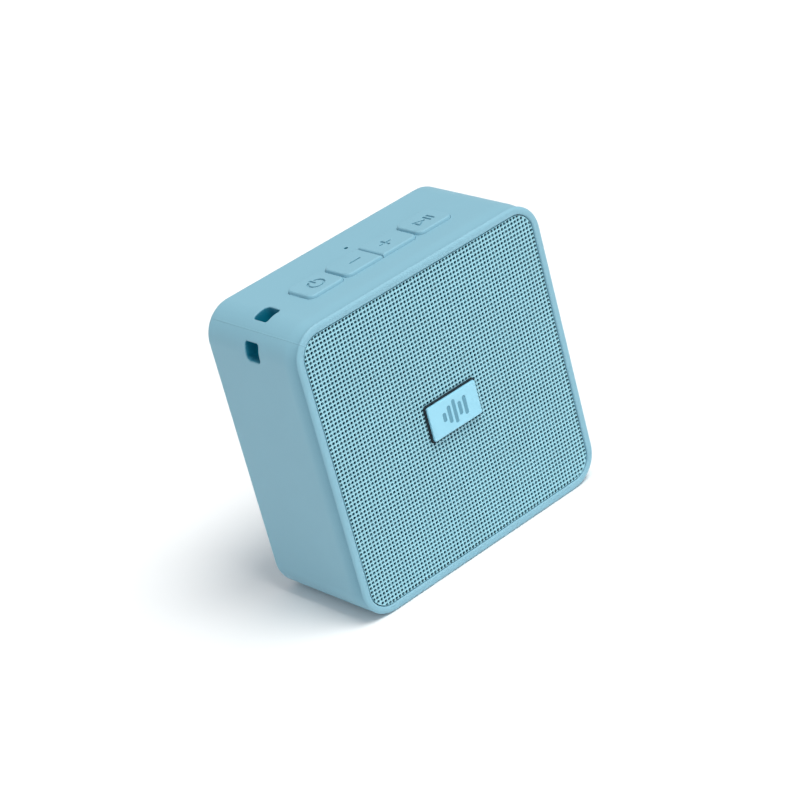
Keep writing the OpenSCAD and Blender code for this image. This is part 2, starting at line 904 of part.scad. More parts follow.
module driver_screws() {
    color("silver")
        for (sx = [-1, 1], sz = [-1, 1])
            translate([sx * ear_at, frame_y + frame_t, driver_z + sz * ear_at])
                rotate([-90, 0, 0])
                    screw(small_head_r, small_head_h, frame_t + gasket_t + baffle_t + 0.9);
}

module surround() {
    roll_mid = surround_r - roll_w / 2;
    seat_y = frame_y - rubber_t;
    color("#17181a")
        about_driver() {
            translate([surround_r - 0.4, seat_y])
                square([2.6, rubber_t]);
            translate([cone_r - 1.2, seat_y])
                square([surround_r - roll_w - cone_r + 1.6, rubber_t]);
            difference() {
                translate([roll_mid, frame_y])
                    circle(r = roll_w / 2 + rubber_t / 2);
                translate([roll_mid, frame_y])
                    circle(r = roll_w / 2 - rubber_t / 2);
                translate([roll_mid - roll_w, frame_y])
                    square([2 * roll_w, roll_w]);
            }
        }
}

module cone() {
    color("#26282b")
        about_driver()
            polygon([
                [cone_r, frame_y], [cone_r - 1.2, frame_y],
                [coil_r + former_t, neck_y], [coil_r + former_t, neck_y + 0.5],
                [cone_r - 1.3, frame_y + 0.5], [cone_r, frame_y + 0.5]
            ]);
}

module dust_cap() {
    cap_y = neck_y - 1.1;
    color("#2f3236")
        about_driver()
            intersection() {
                translate([0, cap_y - cap_rise + cap_ball_r])
                    difference() {
                        circle(r = cap_ball_r, $fn = 160);
                        circle(r = cap_ball_r - 0.4, $fn = 160);
                    }
                translate([0, cap_y - 2 * cap_rise])
                    square([cap_r, 2 * cap_rise]);
            }
}

module voice_coil() {
    color("#b87333")
        about_driver() {
            translate([coil_r, neck_y])
                square([former_t, plate_y + plate_t + 1.2 - neck_y]);
            translate([coil_r + former_t, plate_y - 1.2])
                square([winding_t, plate_t + 2.4]);
        }
}

// Height of the spider's corrugation at radius r
function ripple(r) = 0.45 * sin((r - coil_r) * 360 / 2.6);

module spider() {
    inner_r = coil_r + former_t;
    rings = 33;
    span = spider_r - inner_r;
    front_edge = [for (i = [0 : rings - 1]) let (r = inner_r + span * i / (rings - 1))
        [r, spider_y + (i > 1 && i < rings - 6 ? ripple(r) : 0)]];
    back_edge = [for (i = [rings - 1 : -1 : 0])
        [front_edge[i][0], front_edge[i][1] + spider_t]];
    color("#c9a24e")
        about_driver()
            polygon(concat(front_edge, back_edge));
}

module top_plate() {
    color("#8c8f92")
        about_driver()
            translate([gap_r, plate_y])
                square([top_plate_r - gap_r, plate_t]);
}

module magnet() {
    color("#4a4a4c")
        about_driver()
            translate([gap_r + 1.2, magnet_y])
                square([magnet_r - gap_r - 1.2, magnet_t]);
}

module yoke() {
    color("#9a9da0")
        about_driver() {
            translate([0, yoke_y])
                square([yoke_r, yoke_t]);
            translate([0, plate_y])
                square([pole_r, yoke_y + 0.1 - plate_y]);
        }
}

module terminal_strip() {
    color("#8a5a2b")
        box([-6, plate_y, driver_z + 15.4], [6, plate_y + 1, driver_z + 22]);
}

module speaker_leads() {
    lead_z = driver_z + 24;
    for (s = [-1, 1])
        color(s < 0 ? "#222222" : "#b02a2a")
            wire([
                [s * 3, plate_y + 1, driver_z + 20],
                [s * 3, plate_y + 6, driver_z + 20],
                [s * 3, board_y - 9, lead_z],
                [s * 3, board_y - lead_plug_h, lead_z]
            ], [1, 0, 0]);
}

// ---------- main board ----------

module main_board() {
    color("#1d6b3a")
        difference() {
            box([board_left_x, board_y, board_bottom_z], [board_right_x, board_back_y, board_top_z]);
            for (x = [-board_hole_x, board_hole_x], z = board_hole_z)
                translate([x, board_y - bit, z])
                    rotate([-90, 0, 0])
                        cylinder(r = pass_r, h = board_t + 2 * bit, $fn = 24);
        }
}

module radio_module() {
    color("#b9bcbe")
        box([-24, board_y - 2, 38], [-11, board_y, 56]);
}

module amplifier_chip() {
    color("#1a1a1c")
        box([8, board_y - 1, 60], [13, board_y, 65]);
}

module capacitors() {
    color("#5d6265")
        for (x = [-22, -15])
            translate([x, board_y, 66])
                rotate([90, 0, 0])
                    cylinder(r = 2.5, h = 5.6, $fn = 32);
}

module inductors() {
    color("#3c3e40")
        for (x = [16.5, 22])
            box([x - 2, board_y - 2, 58], [x + 2, board_y, 62]);
}

// Sockets for the speaker leads, the flat cable and the battery leads
module board_connectors() {
    color("#efeadd") {
        box([-5, board_y - lead_plug_h, driver_z + 22.6], [5, board_y, driver_z + 25.6]);
        box([flat_cable_x - 0.5, board_y - flat_plug_h, board_top_z - 7],
            [flat_cable_x + flat_cable_w + 0.5, board_y, board_top_z - 4]);
        box([12, board_y - battery_plug_h, board_bottom_z + 1], [19, board_y, board_bottom_z + 5.4]);
    }
}

module usb_socket() {
    x1 = jack_end_x;
    y = board_y - usb_h / 2;
    color("silver")
        difference() {
            translate([x1 - usb_l, y, usb_z])
                rotate([90, 0, 90])
                    linear_extrude(height = usb_l)
                        rounded_rect(usb_h, usb_w, 1.5);
            translate([x1 - usb_l + 1, y, usb_z])
                rotate([90, 0, 90])
                    linear_extrude(height = usb_l)
                        difference() {
                            rounded_rect(usb_h - 0.6, usb_w - 0.6, 1.2);
                            square([0.7, usb_w - 2.4], center = true);
                        }
        }
}

module audio_socket() {
    x1 = jack_end_x;
    wall_x = tub_in_w / 2 - slip;
    y = board_y - jack_body_w / 2;
    color("#232527")
        difference() {
            union() {
                box([wall_x - jack_body_l, y - jack_body_w / 2, jack_z - jack_body_w / 2],
                    [wall_x, y + jack_body_w / 2, jack_z + jack_body_w / 2]);
                translate([wall_x - 0.01, y, jack_z])
                    rotate([0, 90, 0])
                        cylinder(r = jack_nose_r, h = x1 - wall_x + 0.01, $fn = 48);
            }
            translate([x1 - jack_bore_l, y, jack_z])
                rotate([0, 90, 0])
                    cylinder(r = jack_r, h = jack_bore_l + bit, $fn = 48);
        }
}

module board_screws() {
    color("silver")
        for (x = [-board_hole_x, board_hole_x], z = board_hole_z)
            translate([x, board_y, z])
                rotate([90, 0, 0])
                    screw(small_head_r, small_head_h, board_t + board_gap + 0.6);
}

// ---------- battery ----------

module battery_cell() {
    color("#3f7fb5")
        translate([-cell_l / 2, cell_y, cell_z])
            rotate([0, 90, 0])
                cylinder(r = cell_r, h = cell_l);
}

module battery_cradle() {
    color("#2d3134")
        difference() {
            union() {
                box([-saddle_x - saddle_t / 2, cell_y - cell_r, tub_bottom_z],
                    [saddle_x + saddle_t / 2, cell_y + cell_r, tub_bottom_z + cradle_t]);
                for (s = [-1, 1])
                    box([s * saddle_x - saddle_t / 2, cell_y - cell_r - 1, tub_bottom_z],
                        [s * saddle_x + saddle_t / 2, cell_y + cell_r + 1, tub_bottom_z + saddle_h]);
            }
            translate([-cell_l / 2, cell_y, cell_z])
                rotate([0, 90, 0])
                    cylinder(r = cell_r + slip, h = cell_l);
        }
}

module battery_tabs() {
    color("#c9ccce") {
        box([-cell_l / 2 - tab_t, cell_y - tab_half_w, cell_z - tab_h],
            [-cell_l / 2, cell_y + tab_half_w, cell_z + 8.6]);
        box([cell_l / 2, cell_y - tab_half_w, cell_z - tab_h],
            [cell_l / 2 + tab_t, cell_y + tab_half_w, cell_z + tab_h]);
    }
}

module protection_board() {
    color("#1d6b3a")
        translate([cell_l / 2 + tab_t, cell_y, cell_z])
            rotate([0, 90, 0])
                cylinder(r = cell_r - 0.6, h = protection_t, $fn = 48);
}

module battery_leads() {
    x = cell_l / 2 + tab_t + protection_t + 0.45;
    socket_z = board_bottom_z + 3.2;
    for (s = [-1, 1])
        color(s < 0 ? "#222222" : "#b02a2a")
            wire([
                [x, cell_y + 2 * s, cell_z + 3],
                [x + 10, cell_y + 2 * s, cell_z + 11.5],
                [15.5 + s * 1.5, board_y - 10, socket_z],
                [15.5 + s * 1.5, board_y - battery_plug_h, socket_z]
            ], [0, 0.3, 1]);
}

module battery_foam() {
    color("#3a3c3e")
        for (s = [-1, 1])
            box([s * foam_x - foam_half, cell_y + cell_r, cell_z - foam_half],
                [s * foam_x + foam_half, tub_floor_y, cell_z + foam_half]);
}

// ---------- port cover ----------

// Soft cover with a round lower edge that turns on two short pins
module port_cover() {
    color("#8fbccb") {
        translate([half - cover_t, 0, 0])
            difference() {
                box([0, cover_y - cover_w / 2, hinge_z],
                    [cover_t, cover_y + cover_w / 2, hinge_z + cover_h]);
                for (s = [-1, 1])
                    translate([-bit, cover_y + s * cover_w / 2, hinge_z + cover_h])
                        rotate([0, 90, 0])
                            corner_cutter(cover_corner_r, cover_t + 2 * bit, s);
            }
        translate([cover_x, cover_y - cover_w / 2, hinge_z])
            rotate([-90, 0, 0])
                cylinder(r = hinge_r, h = cover_w, $fn = 32);
        translate([cover_x, cover_y - cover_w / 2 - hinge_pin_l, hinge_z])
            rotate([-90, 0, 0])
                cylinder(r = hinge_pin_r, h = cover_w + 2 * hinge_pin_l, $fn = 24);
    }
}

// What a rounded corner of the cover takes away
module corner_cutter(r, h, side) {
    difference() {
        translate([-bit, side > 0 ? -r : -bit, 0])
            cube([r + bit, r + bit, h]);
        translate([r, -side * r, -bit])
            cylinder(r = r, h = h + 2 * bit, $fn = 48);
    }
}

outer_sleeve();
front_grille();
badge();
badge_pad();
badge_clips();
grille_scrim();
grille_foam();
power_key();
volume_down_key();
volume_up_key();
play_key();
power_plunger();
volume_down_plunger();
volume_up_plunger();
play_plunger();
button_board();
tact_switches();
microphone();
microphone_boot();
button_board_screws();
button_cable();
chassis_tub();
front_baffle();
baffle_seal();
baffle_screws();
driver_frame();
driver_gasket();
driver_screws();
surround();
cone();
dust_cap();
voice_coil();
spider();
top_plate();
magnet();
yoke();
terminal_strip();
speaker_leads();
main_board();
radio_module();
amplifier_chip();
capacitors();
inductors();
board_connectors();
usb_socket();
audio_socket();
board_screws();
battery_cell();
battery_cradle();
battery_tabs();
protection_board();
battery_leads();
battery_foam();
port_cover();
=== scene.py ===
"""Looks of a small square portable speaker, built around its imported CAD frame.

Shapes are worked out in millimetres as distance fields (negative inside the solid) and turned
into meshes in metres. Every position comes from the boxes of the CAD nodes.
"""

import json
import math

import bpy
import numpy as np
from mathutils import Matrix, Vector


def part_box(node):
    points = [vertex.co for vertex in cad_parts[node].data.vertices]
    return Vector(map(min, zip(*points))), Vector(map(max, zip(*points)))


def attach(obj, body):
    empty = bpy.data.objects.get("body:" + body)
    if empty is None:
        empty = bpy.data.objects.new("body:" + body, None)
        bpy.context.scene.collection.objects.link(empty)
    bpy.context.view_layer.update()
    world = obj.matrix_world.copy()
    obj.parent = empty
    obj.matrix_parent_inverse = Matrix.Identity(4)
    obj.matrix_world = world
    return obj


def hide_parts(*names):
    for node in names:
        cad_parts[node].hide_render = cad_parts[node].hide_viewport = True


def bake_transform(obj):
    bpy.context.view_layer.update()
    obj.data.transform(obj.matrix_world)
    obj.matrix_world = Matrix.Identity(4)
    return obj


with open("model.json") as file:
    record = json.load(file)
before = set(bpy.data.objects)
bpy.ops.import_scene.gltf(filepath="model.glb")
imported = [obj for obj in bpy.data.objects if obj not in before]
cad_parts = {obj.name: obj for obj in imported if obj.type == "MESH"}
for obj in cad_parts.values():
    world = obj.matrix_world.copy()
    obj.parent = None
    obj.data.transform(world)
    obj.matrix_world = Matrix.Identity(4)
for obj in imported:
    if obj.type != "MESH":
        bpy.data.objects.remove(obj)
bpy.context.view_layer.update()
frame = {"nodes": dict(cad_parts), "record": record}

MM = 0.001
ENCLOSURE = "enclosure"


def box_mm(node):
    """Lowest and highest corner of a CAD node, in millimetres."""
    low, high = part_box(node)
    return np.array(low) / MM, np.array(high) / MM


# ---------- places, from the frame ----------

skin_low, skin_high = box_mm("outer_sleeve")
FRONT, BACK = skin_low[1], skin_high[1]
HALF, TOP = skin_high[0], skin_high[2]
MIDDLE = TOP / 2
CORNER = 9.2
BACK_FILLET = 2.0
SKIN_T = 1.8
UPRIGHT_FROM = 1
UPRIGHT_RAMP = 8

# the sides stand a little inside the CAD's box, except underneath; the rim's bead is set off from
# them by a hollow behind it, shallower along the top
INSET = 0.08
HOLLOW = 1.1
HOLLOW_ABOVE = 0.35
BEAD = 0.55
HOLLOW_FRONT = 0.8
HOLLOW_BACK = 4.5
RIM_OUTER_FILLET = 1.1
RIM_INNER_FILLET = 0.5
SIDE = HALF - INSET
SKIN_TOP = TOP - INSET

grille_low, grille_high = box_mm("front_grille")
GRILLE_HALF = grille_high[0]
GRILLE_Y = grille_low[1]
GRILLE_T = 0.5
GRILLE_CORNER = 5.85
GRILLE_GAP = 0.25
OPEN_HALF = GRILLE_HALF + GRILLE_GAP
OPEN_CORNER = GRILLE_CORNER + GRILLE_GAP
BAFFLE_T = 2.2
BAFFLE_Y = box_mm("front_baffle")[1][1] - BAFFLE_T

# the keys' pads stand in slots of the skin, and their flanges lie in a pocket under its lip
KEYS = ("power_key", "volume_down_key", "volume_up_key", "play_key")
KEY_FLANGE = 0.9
KEY_FLANGE_T = 0.5
KEY_CORNER = 2.0
KEY_RISE = 0.82
KEY_LEAN = 0.35
KEY_TOP = SKIN_TOP + KEY_RISE
KEY_TOP_FILLET = 0.38
SLOT_GAP = 0.04
SLOT_EDGE = 0.07
SLOT_DEPTH = 5
LIP_T = 0.8
POCKET_HALF_L = 26.5
POCKET_GAP = 0.4
SYMBOL_DEPTH = 0.42
SYMBOL_EDGE = 0.13
STROKE = 0.32
SIGN_HALF = 1.6

# the lanyard tunnel and the bar before it, each measured in from the side and from the top
TUNNEL = 10.5
TUNNEL_BEND = 5.0
TUNNEL_SHIFT = 1.25
TUNNEL_HALF_W = 2.75
TUNNEL_CORNER = 1.2
TUNNEL_EDGE = 0.35
BLOCK_T = 1.5
BAR = 5.3
BAR_R = 3.0
BAR_EDGE = 0.8
power_low, power_high = box_mm("power_key")
KEY_MID_Y = (power_low[1] + power_high[1]) / 2
KEY_HALF_L = (power_high[1] - power_low[1]) / 2 - KEY_FLANGE
TUNNEL_Y = KEY_MID_Y + TUNNEL_SHIFT

mic_low, mic_high = box_mm("microphone")
MIC_Y = (mic_low[1] + mic_high[1]) / 2
MIC_R = 0.5
MIC_EDGE = 0.06

# the port cover hangs on two short pins at its lower edge, in a window of the right side
cover_low, cover_high = box_mm("port_cover")
HINGE_PIN_L = 0.8
HINGE_PIN_R = 0.3
COVER_T = 1.65
COVER_X = cover_high[0] - COVER_T / 2
COVER_Y = (cover_low[1] + cover_high[1]) / 2
COVER_HALF_W = (cover_high[1] - cover_low[1]) / 2 - HINGE_PIN_L
HINGE_Z = cover_low[2] + COVER_T / 2
COVER_TOP = cover_high[2]
COVER_GAP = 0.16
FOOT_HALF_H = 4
WINDOW_DEPTH = 5
WINDOW_EDGE = 0.2
SWEEP = 1.15
# an ellipsoid's half sizes, and how far its middle lies outside the skin
THUMB_HOLLOW = (1.3, 3.0, 2.1)
THUMB_OUT = 0.5
THUMB_EDGE = 0.3

badge_low, badge_high = box_mm("badge")


# ---------- distance fields ----------

def round_rect(a, b, half_a, half_b, r):
    """Distance to a rectangle with rounded corners, centred at the origin."""
    qa = np.abs(a) - half_a + r
    qb = np.abs(b) - half_b + r
    return np.minimum(np.maximum(qa, qb), 0) + np.hypot(np.maximum(qa, 0), np.maximum(qb, 0)) - r


def round_max(a, b, r):
    """Both solids at once, with the edge between them rounded to radius r."""
    return np.minimum(np.maximum(a, b), -r) + np.hypot(np.maximum(a + r, 0), np.maximum(b + r, 0))


def round_min(a, b, r):
    """Either solid, with a fillet of radius r where they meet."""
    return -round_max(-a, -b, r)


def stroke(a, b, a0, b0, a1, b1):
    """Distance to a straight stroke's middle line."""
    da, db = a1 - a0, b1 - b0
    t = np.clip(((a - a0) * da + (b - b0) * db) / (da * da + db * db), 0, 1)
    return np.hypot(a - a0 - t * da, b - b0 - t * db)


def ease(t):
    """Smooth step from 0 to 1."""
    t = np.clip(t, 0, 1)
    return t * t * (3 - 2 * t)


# ---------- from a field to a mesh ----------

NEWTON_STEPS = 4
LONGEST_STEP = 0.2
FLATTEST = 0.05
# how far the grid of a small piece reaches past it
MARGIN = 0.3


def grid_lines(low, high, coarse, *fine):
    """Grid coordinates from low to high: steps of coarse, and finer ones in each (from, to, step)."""
    lines = [low]
    while lines[-1] < high:
        at = lines[-1]
        step = min([s for a, b, s in fine if a - 1e-9 <= at < b], default=coarse)
        ahead = min([a for a, b, s in fine if a > at + 1e-9], default=high + step)
        lines.append(ahead if at + step > ahead else at + step)
    return np.array(lines)


def gradient(field, points, eps=0.01):
    """Slope of a field at points."""
    slope = np.empty_like(points)
    for axis in range(3):
        shift = np.zeros(3)
        shift[axis] = eps
        ahead, behind = points + shift, points - shift
        slope[:, axis] = (field(*ahead.T) - field(*behind.T)) / (2 * eps)
    return slope


def crossings(values, lines, axis):
    """Where the surface cuts the grid's edges along one axis: edges, points, and which end is inside."""
    lower = tuple(slice(0, -1) if d == axis else slice(None) for d in range(3))
    upper = tuple(slice(1, None) if d == axis else slice(None) for d in range(3))
    low, high = values[lower], values[upper]
    change = (low < 0) != (high < 0)
    index = np.argwhere(change)
    t = low[change] / (low[change] - high[change])
    points = np.stack([lines[d][index[:, d]] for d in range(3)], axis=1)
    points[:, axis] += t * (lines[axis][index[:, axis] + 1] - lines[axis][index[:, axis]])
    return index, points, low[change] < 0


def polygonise(field, *lines):
    """Surface nets: one point in each cell that the surface crosses, one quad over each crossed edge."""
    values = field(*np.meshgrid(*lines, indexing="ij"))
    cells = tuple(len(line) - 1 for line in lines)
    total = np.zeros(cells + (3,))
    count = np.zeros(cells)
    edges = [crossings(values, lines, axis) for axis in range(3)]
    for axis, (index, points, _) in enumerate(edges):
        b, c = (axis + 1) % 3, (axis + 2) % 3
        for back_b in (0, 1):
            for back_c in (0, 1):
                cell = index.copy()
                cell[:, b] -= back_b
                cell[:, c] -= back_c
                np.add.at(total, tuple(cell.T), points)
                np.add.at(count, tuple(cell.T), 1)
    filled = count > 0
    number = np.full(cells, -1)
    number[filled] = np.arange(filled.sum())
    points = total[filled] / count[filled][:, None]
    faces = []
    for axis, (index, _, low_inside) in enumerate(edges):
        b, c = (axis + 1) % 3, (axis + 2) % 3
        ring = []
        for back_b, back_c in ((1, 1), (0, 1), (0, 0), (1, 0)):
            cell = index.copy()
            cell[:, b] -= back_b
            cell[:, c] -= back_c
            ring.append(number[tuple(cell.T)])
        quads = np.stack(ring, axis=1)
        quads[~low_inside] = quads[~low_inside][:, ::-1]
        faces.append(quads)
    # Newton steps onto the surface, each at most LONGEST_STEP
    for _ in range(NEWTON_STEPS):
        slope = gradient(field, points)
        size = np.maximum((slope ** 2).sum(1), FLATTEST)
        step = slope * (field(*points.T) / size)[:, None]
        length = np.linalg.norm(step, axis=1)
        points = points - step * np.minimum(1, LONGEST_STEP / np.maximum(length, 1e-9))[:, None]
    slope = gradient(field, points)
    length = np.maximum(np.linalg.norm(slope, axis=1), 1e-6)
    return points, np.concatenate(faces), slope / length[:, None]


def new_object(name, data):
    """A new object in the scene."""
    made = bpy.data.objects.new(name, data)
    bpy.context.scene.collection.objects.link(made)
    return made


def mesh_object(name, points, faces, normals=None, smooth=True):
    """A mesh object from points in millimetres."""
    mesh = bpy.data.meshes.new(name)
    mesh.from_pydata((np.asarray(points) * MM).tolist(), [], [list(map(int, face)) for face in faces])
    mesh.polygons.foreach_set("use_smooth", [smooth] * len(mesh.polygons))
    mesh.validate(clean_customdata=False)
    if normals is not None:
        mesh.normals_split_custom_set_from_vertices(normals.tolist())
    return new_object(name, mesh)


def field_piece(name, field, lines, material, body, replaced=()):
    """A finished piece from a field: meshed, given its material and tied to its body."""
    piece = mesh_object(name, *polygonise(field, *lines))
    return finish_piece(piece, material, body, replaced)


def finish_piece(piece, material, body, replaced=()):
    """Gives a piece its material and slot, and ties it to its body."""
    piece.data.materials.append(material)
    if replaced:
        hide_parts(*replaced)
    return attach(piece, body)


# ---------- materials ----------

def srgb(red, green, blue):
    """Linear colour from 8-bit display values."""
    def linear(value):
        """One channel, from 0 to 1."""
        value /= 255
        return value / 12.92 if value <= 0.04045 else ((value + 0.055) / 1.055) ** 2.4
    return (linear(red), linear(green), linear(blue), 1.0)


def shade(colour, factor):
    """A colour made lighter or darker."""
    return tuple(min(1.0, c * factor) for c in colour[:3]) + (1.0,)


class Surface:
    """A procedural material: a two-tone colour, varied roughness and fine bump, in object space."""

    def __init__(self, name, metallic=0.0, **sockets):
        self.material = bpy.data.materials.new(name)
        self.material.use_nodes = True
        self.tree = self.material.node_tree
        self.shader = self.tree.nodes["Principled BSDF"]
        self.shader.inputs["Metallic"].default_value = metallic
        for socket, value in sockets.items():
            self.shader.inputs[socket.replace("_", " ")].default_value = value
        self.place = self.tree.nodes.new("ShaderNodeTexCoord").outputs["Object"]
        self.normal = None

    def node(self, kind, **settings):
        """Adds a node; settings are its properties, or its inputs where the name has a capital."""
        made = self.tree.nodes.new("ShaderNode" + kind)
        for key, value in settings.items():
            if key[0].isupper():
                made.inputs[key].default_value = value
            else:
                setattr(made, key, value)
        return made

    def link(self, output, target):
        """Joins an output to an input."""
        self.tree.links.new(output, target)

    def scaled(self, stretch):
        """Object coordinates stretched by (x, y, z)."""
        mapping = self.node("Mapping")
        mapping.inputs["Scale"].default_value = stretch
        self.link(self.place, mapping.inputs["Vector"])
        return mapping.outputs["Vector"]

    def noise(self, size_mm, detail=3.0, stretch=(1, 1, 1)):
        """Noise with features of about this size."""
        made = self.node("TexNoise", Scale=1 / (size_mm * MM), Detail=detail)
        self.link(self.scaled(stretch), made.inputs["Vector"])
        return made.outputs["Fac"]

    def tones(self, factor, dark, light, low=0.3, high=0.7):
        """Colour between two tones."""
        ramp = self.node("ValToRGB")
        ramp.color_ramp.elements[0].position, ramp.color_ramp.elements[0].color = low, dark
        ramp.color_ramp.elements[1].position, ramp.color_ramp.elements[1].color = high, light
        self.link(factor, ramp.inputs["Fac"])
        return ramp.outputs["Color"]

    def colour(self, output):
        """Takes the base colour from an output."""
        self.link(output, self.shader.inputs["Base Color"])
        return self

    def roughness(self, factor, low, high):
        """Roughness that follows a factor."""
        spread = self.node("MapRange")
        spread.inputs["To Min"].default_value = low
        spread.inputs["To Max"].default_value = high
        self.link(factor, spread.inputs["Value"])
        self.link(spread.outputs["Result"], self.shader.inputs["Roughness"])
        return self

    def bump(self, height, depth_mm, strength=1.0):
        """Adds a layer of bump of this depth."""
        made = self.node("Bump", Strength=strength, Distance=depth_mm * MM)
        self.link(height, made.inputs["Height"])
        if self.normal:
            self.link(self.normal, made.inputs["Normal"])
        self.normal = made.outputs["Normal"]
        self.link(self.normal, self.shader.inputs["Normal"])
        return self

    def painted_crevice_shade(self, dark, reach_mm, low, high):
        """Painted shade: darkens the colour towards dark, and dims the specular, where the surface faces
        other surfaces closer than the reach.
        """
        base = self.shader.inputs["Base Color"].links[0].from_socket
        open_sky = self.node("AmbientOcclusion", samples=8, only_local=True, Distance=reach_mm * MM)
        mix = self.node("Mix", data_type="RGBA")
        mix.inputs[6].default_value = dark
        self.link(base, mix.inputs[7])
        spread = self.node("MapRange", interpolation_type="SMOOTHSTEP")
        spread.inputs["From Min"].default_value = low
        spread.inputs["From Max"].default_value = high
        self.link(open_sky.outputs["AO"], spread.inputs["Value"])
        self.link(spread.outputs["Result"], mix.inputs[0])
        # painted shade also dims the specular in the same crevices
        shade_specular = self.math("MULTIPLY", spread.outputs["Result"], 0.5)
        self.link(shade_specular, self.shader.inputs["Specular IOR Level"])
        return self.colour(mix.outputs[2])

    def math(self, operation, first, second=None):
        """A math node on outputs or numbers."""
        made = self.node("Math", operation=operation)
        for socket, value in zip(made.inputs, (first, second)):
            if isinstance(value, (int, float)):
                socket.default_value = value
            elif value is not None:
                self.link(value, socket)
        return made.outputs["Value"]

    def axes(self):
        """Object coordinates as three outputs."""
        split = self.node("SeparateXYZ")
        self.link(self.place, split.inputs["Vector"])
        return split.outputs


def moulded(name, colour, rough=0.5, spread=0.06, tone=0.04, patch_mm=9.0, grain_mm=0.25, grain=0.008,
            **sockets):
    """Moulded plastic, rubber or paint: faint patches of tone over a fine grain."""
    made = Surface(name, **sockets)
    patches = made.noise(patch_mm, 4.0)
    made.colour(made.tones(patches, shade(colour, 1 - tone), shade(colour, 1 + tone)))
    grains = made.noise(grain_mm, 2.0)
    made.roughness(grains, rough - spread, rough + spread)
    return made.bump(grains, grain)


def metal(name, colour, rough=0.3, stretch=(1, 1, 30), **sockets):
    """Bare metal with fine drawn lines."""
    made = Surface(name, metallic=1.0, **sockets)
    lines = made.noise(2.0, 4.0, stretch)
    made.colour(made.tones(lines, shade(colour, 0.9), shade(colour, 1.05)))
    made.roughness(lines, rough - 0.08, rough + 0.1)
    return made.bump(lines, 0.006)


SKIN_BLUE = srgb(131, 179, 196)
KEY_BLUE = srgb(132, 180, 197)
GRILLE_BLUE = srgb(150, 204, 218)
BADGE_BLUE = srgb(147, 208, 229)
MARK_BLUE = srgb(92, 150, 172)


def make_skin():
    """Soft-touch silicone, with the mould's parting line along the corner that holds the lanyard bar, and
    painted shade in its deep gaps.
    """
    made = moulded("skin_rubber", SKIN_BLUE, rough=0.56, spread=0.04, tone=0.018, patch_mm=26.0,
                   grain_mm=0.16, grain=0.006, Sheen_Weight=0.06, Sheen_Roughness=0.45)
    x, _, z = made.axes()
    across = made.math("SUBTRACT", made.math("ADD", x, HALF * MM), made.math("SUBTRACT", TOP * MM, z))
    line = made.math("MINIMUM", made.math("DIVIDE", made.math("ABSOLUTE", across), 0.3 * MM), 1.0)
    past_corner = made.math("DIVIDE", made.math("ADD", x, (HALF - CORNER / 2) * MM), 1.0 * MM)
    line = made.math("MINIMUM", made.math("MAXIMUM", line, past_corner), 1.0)
    made.bump(made.math("MULTIPLY", line, -1.0), 0.08, 1.0)
    # painted shade: a deeper teal, with dimmer specular, where the skin faces itself within 7 mm, as in the
    # lanyard tunnels, key slots and the hollow behind the rim
    return made.painted_crevice_shade(srgb(0, 118, 145), 7.0, 0.5, 1.0).material


def make_key_rubber():
    """The skin's silicone, with painted shade darkening its engraved symbols and other tight hollows of the
    key.
    """
    made = moulded("key_rubber", KEY_BLUE, rough=0.54, spread=0.04, tone=0.018, patch_mm=20.0,
                   grain_mm=0.16, grain=0.006, Sheen_Weight=0.06, Sheen_Roughness=0.45)
    # painted shade: a darker blue, with dimmer specular, in the symbol grooves
    return made.painted_crevice_shade(srgb(90, 146, 164), 0.9, 0.1, 0.75).material


def make_grille_paint():
    """Satin paint over pressed steel, with a fine orange peel, and painted shade inside its holes."""
    made = moulded("grille_paint", GRILLE_BLUE, rough=0.42, spread=0.05, tone=0.03, patch_mm=14.0,
                   grain_mm=0.35, grain=0.01, Coat_Weight=0.1, Coat_Roughness=0.35)
    # painted shade: a dark teal, with dimmer specular, on the walls of the holes
    return made.painted_crevice_shade(srgb(0, 48, 66), 0.7, 0.25, 0.88).material


def make_weave(name, colour, thread_mm, rough=0.9, shine=0.3):
    """Plain woven cloth: two sets of threads, one over the other."""
    made = Surface(name, Specular_IOR_Level=shine)
    x, _, z = made.axes()
    turns = 2 * math.pi / (thread_mm * MM)
    warp = made.math("SINE", made.math("MULTIPLY", x, turns))
    weft = made.math("SINE", made.math("MULTIPLY", z, turns))
    weave = made.math("MULTIPLY", warp, weft)
    made.colour(made.tones(weave, shade(colour, 0.6), shade(colour, 1.5), 0.1, 0.9))
    made.roughness(made.noise(1.5), rough - 0.08, rough)
    return made.bump(weave, 0.05).material


def make_circuit_board():
    """Green solder mask over copper traces and pads."""
    made = Surface("circuit_board", Coat_Weight=0.4, Coat_Roughness=0.2)
    cells = made.node("TexVoronoi", distance="MANHATTAN", feature="DISTANCE_TO_EDGE", Scale=1 / (3.4 * MM))
    made.link(made.scaled((1, 1, 1)), cells.inputs["Vector"])
    traces = cells.outputs["Distance"]
    made.colour(made.tones(traces, srgb(36, 120, 66), srgb(18, 78, 44), 0.05, 0.09))
    made.roughness(made.noise(0.8), 0.28, 0.42)
    return made.bump(traces, 0.02).material


def make_spider_cloth():
    """Resin-dipped cloth, amber and open woven."""
    return make_weave("spider_cloth", srgb(196, 148, 74), 0.7)


def make_paper():
    """Coated paper pulp with visible fibres."""
    made = Surface("paper_pulp")
    fibres = made.noise(0.9, 8.0, (1, 4, 1))
    made.colour(made.tones(fibres, srgb(38, 40, 43), srgb(66, 68, 72), 0.35, 0.7))
    made.roughness(fibres, 0.6, 0.8)
    return made.bump(fibres, 0.03).material


def make_winding():
    """Enamelled copper wire, wound turn by turn."""
    made = Surface("copper_wire", metallic=1.0, Coat_Weight=0.6, Coat_Roughness=0.15)
    _, y, _ = made.axes()
    turns = made.math("SINE", made.math("MULTIPLY", y, 2 * math.pi / (0.24 * MM)))
    made.colour(made.tones(turns, srgb(120, 58, 26), srgb(202, 116, 62), 0.1, 0.9))
    made.roughness(made.noise(1.0), 0.25, 0.35)
    return made.bump(turns, 0.05).material


